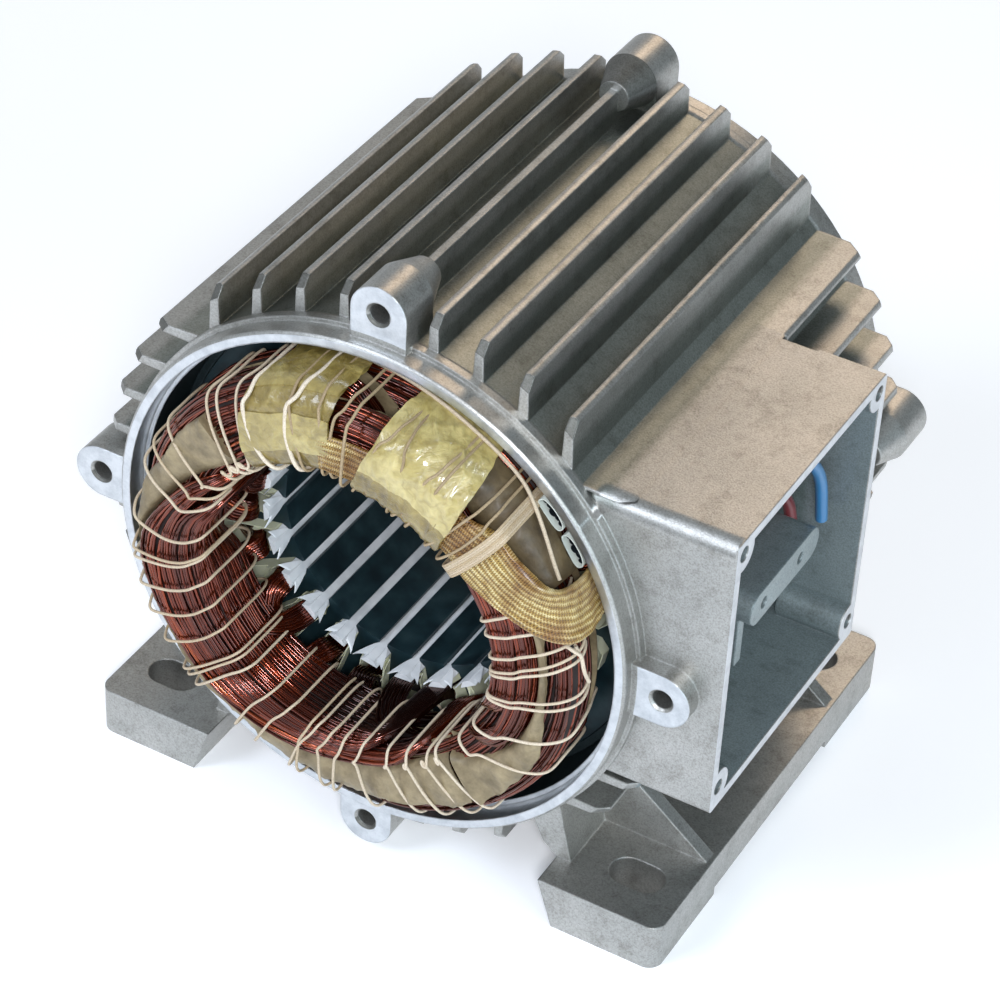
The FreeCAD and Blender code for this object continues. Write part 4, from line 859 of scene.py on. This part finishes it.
# angle, radius and height of the inner edge, then of the outer edge, and half the thickness
run = [(97, 43.4, 33.2, 97, 53.2, 33.2, 0.9), (90, 43.2, 33.4, 90, 53.4, 33.4, 0.95),
       (80, 43.2, 33.4, 80, 53.8, 33.4, 0.95), (70, 43.4, 33.3, 70, 55, 33.3, 0.9),
       (60, 43.6, 33.2, 60, 55.4, 33.2, 0.9), (53, 43.8, 33.4, 53, 56.0, 33.4, 1.1),
       (48.5, 44.0, 33.8, 48.5, 60.5, 33.8, 1.5), (44.0, 44.2, 33.9, 44.5, 61.6, 33.9, 1.5),
       (39.0, 44.8, 34.1, 39.5, 62.2, 34.0, 1.6), (33.0, 47.4, 35.0, 34.5, 64.2, 34.6, 1.6),
       (26.5, 52.4, 35.4, 31.5, 66.4, 34.2, 1.6), (20.5, 58.6, 35.4, 30.0, 67.6, 31.6, 1.5),
       (16.5, 64.4, 32.0, 29.0, 67.4, 27.5, 1.4), (16.0, 65.8, 24.5, 28.0, 66.0, 20.5, 1.4),
       (18.5, 65.2, 14.5, 27.5, 65.1, 13.0, 1.4), (19, 65.1, 10, 27.5, 65.1, 10, 1.4)]
points, faces, flats = sleeve_mesh(run)
sleeve = mesh_piece("woven_sleeve", points, faces, woven_yarn)
corners = np.zeros(len(sleeve.data.loops), dtype=np.int32)
sleeve.data.loops.foreach_get("vertex_index", corners)
layer = sleeve.data.uv_layers.new(name="cloth")
layer.data.foreach_set("uv", np.asarray(flats, np.float32)[corners].ravel())
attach(sleeve, "root")
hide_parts("lead_sleeve")


# Lacing. Twisted polyester cord looped round the bundle and pulled tight, cream where it is clean and
# grey-brown where varnish has soaked in. Each loop is given by its angle inside, on the face and outside.
FRONT_LOOPS = [  # angle inside, on the face, outside, cord radius and tone
    (127, 130.5, 121, 0.40, 0.8), (114.5, 119, 115, 0.55, 1.0), (105, 107, 102, 0.60, 1.0),
    (137, 138.5, 131, 0.42, 0.7), (130, 134.5, 127.5, 0.42, 0.8), (144, 150.5, 148, 0.42, 0.7),
    (150, 158, 154.5, 0.40, 0.6), (156, 165, 161, 0.42, 0.75), (172, 178.5, 175, 0.42, 0.7),
    (180, 186.5, 185, 0.40, 0.6), (181, 188, 188, 0.40, 0.75), (191, 196.5, 195, 0.42, 0.7),
    (201, 205, 202, 0.40, 0.65), (211, 213.5, 211, 0.40, 0.6), (222, 221.5, 220, 0.40, 0.65),
    (224, 223, 222, 0.40, 0.65), (229, 226.5, 225, 0.42, 0.75), (241, 238.5, 239, 0.40, 0.7),
    (250, 246, 245, 0.42, 0.7), (259, 256.5, 258, 0.40, 0.6), (262, 257.5, 255, 0.40, 0.75),
    (268, 263, 265, 0.40, 0.7), (273, 270, 268, 0.42, 0.75), (281, 276, 279, 0.40, 0.8),
    (291, 288, 290.5, 0.40, 0.85), (299, 296, 298, 0.42, 0.85), (309, 304, 306, 0.40, 0.8),
    (312, 310.5, 312, 0.42, 0.9), (325, 324.5, 333, 0.42, 0.85), (335, 337, 346, 0.42, 0.9),
    (350.5, 352, 357, 0.42, 0.85), (351.5, 354, 359.5, 0.40, 0.8), (0.5, 3, 9, 0.42, 0.85),
    (2, 5, 11, 0.40, 0.75), (7.5, 10, 14.5, 0.42, 0.8), (17, 17.5, 20, 0.42, 0.85), (22, 24, 26, 0.42, 0.8),
    (93, 93.3, 90, 0.42, 0.35), (88.5, 88, 87, 0.42, 0.35), (85.5, 81, 77.3, 0.40, 0.3),
    (71, 71, 73.5, 0.40, 0.25), (70, 66.5, 64.5, 0.42, 0.35), (64, 62.4, 62.5, 0.42, 0.3),
    (97, 95.5, 96, 0.40, 0.35), (103, 104, 103.5, 0.42, 0.3), (55.5, 53.5, 52.9, 0.40, 0.35),
    (49.5, 48.2, 49.7, 0.40, 0.35),
]
PULLED_THIN = 0.92                       # share of a cord's radius that is left where it is pulled tight
REAR_SLACK = 3.0                         # how far the rear loops stand off the wires in the bore, mm


def loop_path(inside, face, outside, end, lift, slack=0.0):
    """A closed cord loop round the bundle, which lies over tape or paper where the front has them."""
    side, low, wall = front_width(face), 24.9 + plane_rise(face), 62.6
    if end < 0 and 154 < face < 286:
        low, wall = 30.6, 62.4
    if end < 0 and 46 < face < 130:
        over_sleeve = face < 90
        side, low, wall = 59, 31.5 + (2.6 if over_sleeve else 0.6), 63.6
        lift += 2.6 if over_sleeve else 1.0
    top = 32.75 + lift
    hollow = bank("u", outside)[1] + 0.7 if face > 300 or face < 30 else wall
    bore = 40.35 - slack - 1.3 * apron(inside)
    beyond = outside + 0.35 * (outside - face)
    ring = [(inside, bore, 14), (inside, bore, 20), (inside, bore, 26), (inside, bore, 29.5 + lift * 0.8),
            (0.8 * inside + 0.2 * face, bore + 0.5, 31.7 + lift), (0.55 * inside + 0.45 * face, 42.6, top),
            (0.2 * inside + 0.8 * face, 45.0, top + 0.1)]
    for share, angle_share in ((0.35, 0.02), (0.6, 0.12), (0.8, 0.3)):
        ring.append((face + angle_share * (outside - face), 45 + share * (side - 46), top + 0.1))
    ring += [(0.55 * face + 0.45 * outside, side - 0.3, top - 0.2),
             (0.3 * face + 0.7 * outside, 0.5 * (side + 61.7), 0.5 * (top + low) + 0.5),
             (outside, 60.9, low - 0.3), (0.7 * outside + 0.3 * beyond, wall, low - 3.4),
             (beyond, wall - 0.2, low - 7), (beyond, 0.7 * wall + 0.3 * hollow, 17.5), (beyond, hollow, 13),
             (beyond, hollow - 0.3, 10), (outside, hollow - 2.3, 8.2), (0.5 * (inside + outside), 52, 8.0),
             (inside, 43, 8.2), (inside, 40.9, 10)]
    return at(spline(ring, 4, closed=True), end)


def cord_piece(name, paths, radii, tones, sides=7, closed=True):
    """Cords along paths as one piece, each with its own tone."""
    points, faces, owners = tubes(paths, radii, sides, closed)
    return mesh_piece(name, points, faces, lacing_cord, tones=np.array(tones)[owners])


# twisted yarn: matt and a little fuzzy; its strands of 0.15 mm are drawn at 0.38 mm so that they show
lacing_cord, tree, shader = surface("twisted_lacing_cord", Roughness=0.6, Subsurface_Weight=0.1,
                                    Subsurface_Radius=(0.001, 0.001, 0.001))
tone = add(tree, "Attribute", attribute_name="tone", out="Fac")
yarn_tone = add(tree, "ValToRGB", tone, stops=[(0.0, "77633f"), (0.5, "b49f7f"), (1.0, "d9ccb8")])
strand = add(tree, "TexNoise", add(tree, "TexCoord", out="Object"), Scale=1000 / 0.385, Detail=2.0)
fuzz = add(tree, "ValToRGB", strand, stops=[(0.3, "d5cec4"), (0.6, "ffffff")])
feed(tree, shader.inputs["Base Color"], add(tree, "Mix", 0.7, yarn_tone, fuzz, **TIMES))
relief(tree, shader, (strand, 0.0002, 0.6))

rng = random.Random(3)
paths = [loop_path(inside, face, outside, -1, rng.uniform(0, 0.12))
         for inside, face, outside, _, _ in FRONT_LOOPS]
radii = np.array([radius for *_, radius, _ in FRONT_LOOPS]) * PULLED_THIN * 0.001
cords = cord_piece("cords_front", paths, radii, [shade for *_, shade in FRONT_LOOPS])
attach(cords, "root")
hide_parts("lacing_front")

paths, tones = [], []
for index in range(30):
    face = 12 * index + rng.uniform(-3, 3)
    inside, outside = face + rng.uniform(-2, 6), face + rng.uniform(-8, 2)
    paths.append(loop_path(inside, face, outside, 1, rng.uniform(0, 0.1), REAR_SLACK))
    tones.append(rng.uniform(0.5, 0.9))
cords = cord_piece("cords_rear", paths, 0.00041, tones)
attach(cords, "root")
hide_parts("lacing_rear")

# Tie band. The same cord, laid flat in seven turns beside each other. It holds the sleeve down on the
# bundle and goes round both, so it lies over them at one place like a strap.
BAND = [(43.6, 40.2, 14), (43.6, 40.2, 22), (43.7, 40.2, 29), (43.8, 40.6, 33.4), (44.0, 42.2, 35.6),
        (44.4, 47, 36.1), (44.8, 52, 36.1), (45.4, 58, 36.0), (45.9, 62.3, 35.2), (46.2, 63.4, 32.5),
        (46.3, 63.5, 26), (46.3, 63.5, 16), (46, 62.8, 9.5), (45.5, 60.5, 8.1), (44.8, 52, 8.0),
        (44, 43, 8.2), (43.6, 40.8, 10)]
paths = []
for offset in np.linspace(-1.5, 1.5, 7):
    ring = [(angle + math.degrees(offset / radius), radius, height) for angle, radius, height in BAND]
    paths.append(at(spline(ring, 4, closed=True)))
band = cord_piece("tie_band_cords", paths, 0.00034, (0.55, 0.7, 0.6, 0.5, 0.65, 0.7, 0.55))
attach(band, "root")
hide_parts("sleeve_tie_band")

# Rim cord. A thicker cord of the same make, laid along the outer rim of the bundle under the last loops,
# with a knot and its two cut ends at the right.
rim = [(96, 64.0, 15), (86, 64.2, 16.5), (75.2, 64.2, 18.0), (69, 64.2, 18.6), (63.7, 64.3, 19.2),
       (54.7, 64.4, 19.4), (50, 64.4, 20.0), (47.4, 64.6, 21.2), (43, 64.6, 23.2), (38.2, 64.6, 25.4),
       (34, 64.4, 26.8), (30.5, 64.2, 27.2)]
knot = [(14.5, 62.8, 29.4), (13.5, 64.2, 29.0), (12.0, 64.4, 28.2), (9.5, 64.4, 28.4), (6.5, 64.2, 27.2),
        (3.7, 63.9, 25.2)]
bow = [(15.5, 62.0, 30.0), (14.5, 64.0, 30.2), (13.2, 64.8, 29.2), (12.4, 63.9, 28.0), (13.4, 62.9, 27.6),
       (15, 63.3, 28.4)]
rim_cord = cord_piece("rim_cord", [at(spline(route, 5)) for route in (rim, knot, bow)],
                      (0.0005, 0.0005, 0.00045), (0.75, 0.9, 0.9), 8, closed=False)
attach(rim_cord, "root")


# Lead tubes. Two flattened white plastic tubes in the gap between bundle and frame that take the leads
# to the window of the terminal box. Five leads end a little inside each mouth, near black as painted shade.
GAP = 65.0                               # radius of the middle of the gap, mm
TUBE_PLACES = {"upper": 42.0, "lower": 33.0}
TUBE_LEADS = (  # across the tube, radius of the insulation, and end of each lead beyond the core, mm
    (-3.3, 0.7, 18.6), (-1.8, 1.05, 18.2), (0.0, 1.2, 18.7), (1.7, 1.1, 18.1), (3.3, 0.7, 18.5))


def tube_wall(middle, wide, high, heights):
    """Rings of points on one wall of a flattened tube that bends with the gap."""
    steps = np.linspace(0, 2 * math.pi, 40, endpoint=False)
    across = wide * np.sign(np.cos(steps)) * np.abs(np.cos(steps)) ** 0.85
    outward = high * np.sign(np.sin(steps)) * np.abs(np.sin(steps)) ** 0.7
    angles, radius = middle + np.degrees(across / GAP), GAP + outward - 0.012 * across ** 2
    return [at(np.column_stack([angles, radius, np.full(40, height)])) for height in heights]


# extruded plastic: smooth and waxy, with light passing through the thin wall
white_plastic = surface("extruded_white_plastic", Roughness=0.28, Base_Color="d6dcd3",
                        Subsurface_Weight=0.15, Subsurface_Radius=(0.002, 0.002, 0.002))[0]
for place, middle in TUBE_PLACES.items():
    heights = (19.7, 19.5, 15.0, 9.3)
    rings = tube_wall(middle, 4.5, 1.7, heights) + tube_wall(middle, 4.22, 1.42, heights[::-1])
    lines = np.array(rings).transpose(1, 0, 2)
    points, faces = skin(np.concatenate([lines, lines[:, :1]], axis=1))
    tube = mesh_piece(f"white_tube_{place}", points, faces, white_plastic, crisp=50)
    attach(tube, "root")
    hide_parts(f"lead_tube_{place}")

# plastic insulation in the shade of the tube: near black as painted shade, so that each mouth reads dark,
# with a soft sheen
lead_painted_shade = surface("leads_in_the_tubes", Roughness=0.5, Base_Color="1b2024")[0]
runs, radii = [], []
for middle in TUBE_PLACES.values():
    for across, thick, top in TUBE_LEADS:
        angle, radius = middle + math.degrees(across / GAP), GAP - 0.012 * across ** 2
        runs.append(at([(angle, radius, height) for height in np.linspace(9.4, top, 8)]))
        radii.append(thick * 0.001)
points, faces, _ = tubes(runs, radii, 12)
inner_leads = mesh_piece("leads_in_tubes", points, faces, lead_painted_shade)
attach(inner_leads, "root")


# Leads. Two copper wires in extruded plastic insulation, which run from the window of the terminal box
# over the board's pedestal to behind it. The plastic is smooth, with a soft gloss along each bend.
FRAME_END = 70                           # half the frame's length, mm
LEAD_RADIUS = 0.0016


def insulated(name, node, slot, code, places):
    """An insulated lead through rounded corners, given across, back from the front face and up, in mm."""
    corners = [np.array((x, y - FRAME_END, z + SHAFT)) for x, y, z in places]
    path = [corners[0]]
    for before, corner, after in zip(corners, corners[1:], corners[2:]):
        reach = 0.45 * min(np.linalg.norm(before - corner), np.linalg.norm(after - corner))
        near = corner + (before - corner) / np.linalg.norm(before - corner) * reach
        far = corner + (after - corner) / np.linalg.norm(after - corner) * reach
        for t in np.linspace(0, 1, 9):
            path.append((1 - t) ** 2 * near + 2 * t * (1 - t) * corner + t * t * far)
    path.append(corners[-1])
    material = surface(f"{slot}_insulation", Roughness=0.32, Base_Color=code, Coat_Weight=0.3)[0]
    points, faces, _ = tubes([np.array(path) * 0.001], LEAD_RADIUS, 16)
    lead = mesh_piece(name, points, faces, material)
    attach(lead, "root")
    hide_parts(node)


insulated("wire_blue", "lead_blue", "blue_lead", "2f6f9e",
          [(63, 15.3, 41), (76, 20, 44), (84, 38, 44), (84, 58, 41), (83.5, 76, 21), (83, 80.8, 4)])
insulated("wire_red", "lead_red", "red_lead", "6b1f24",
          [(61, 14.5, 34), (67.5, 16.5, 33), (68, 38, 28.7), (69.9, 58, 23.8), (75, 77, 11), (76, 80.8, -5)])
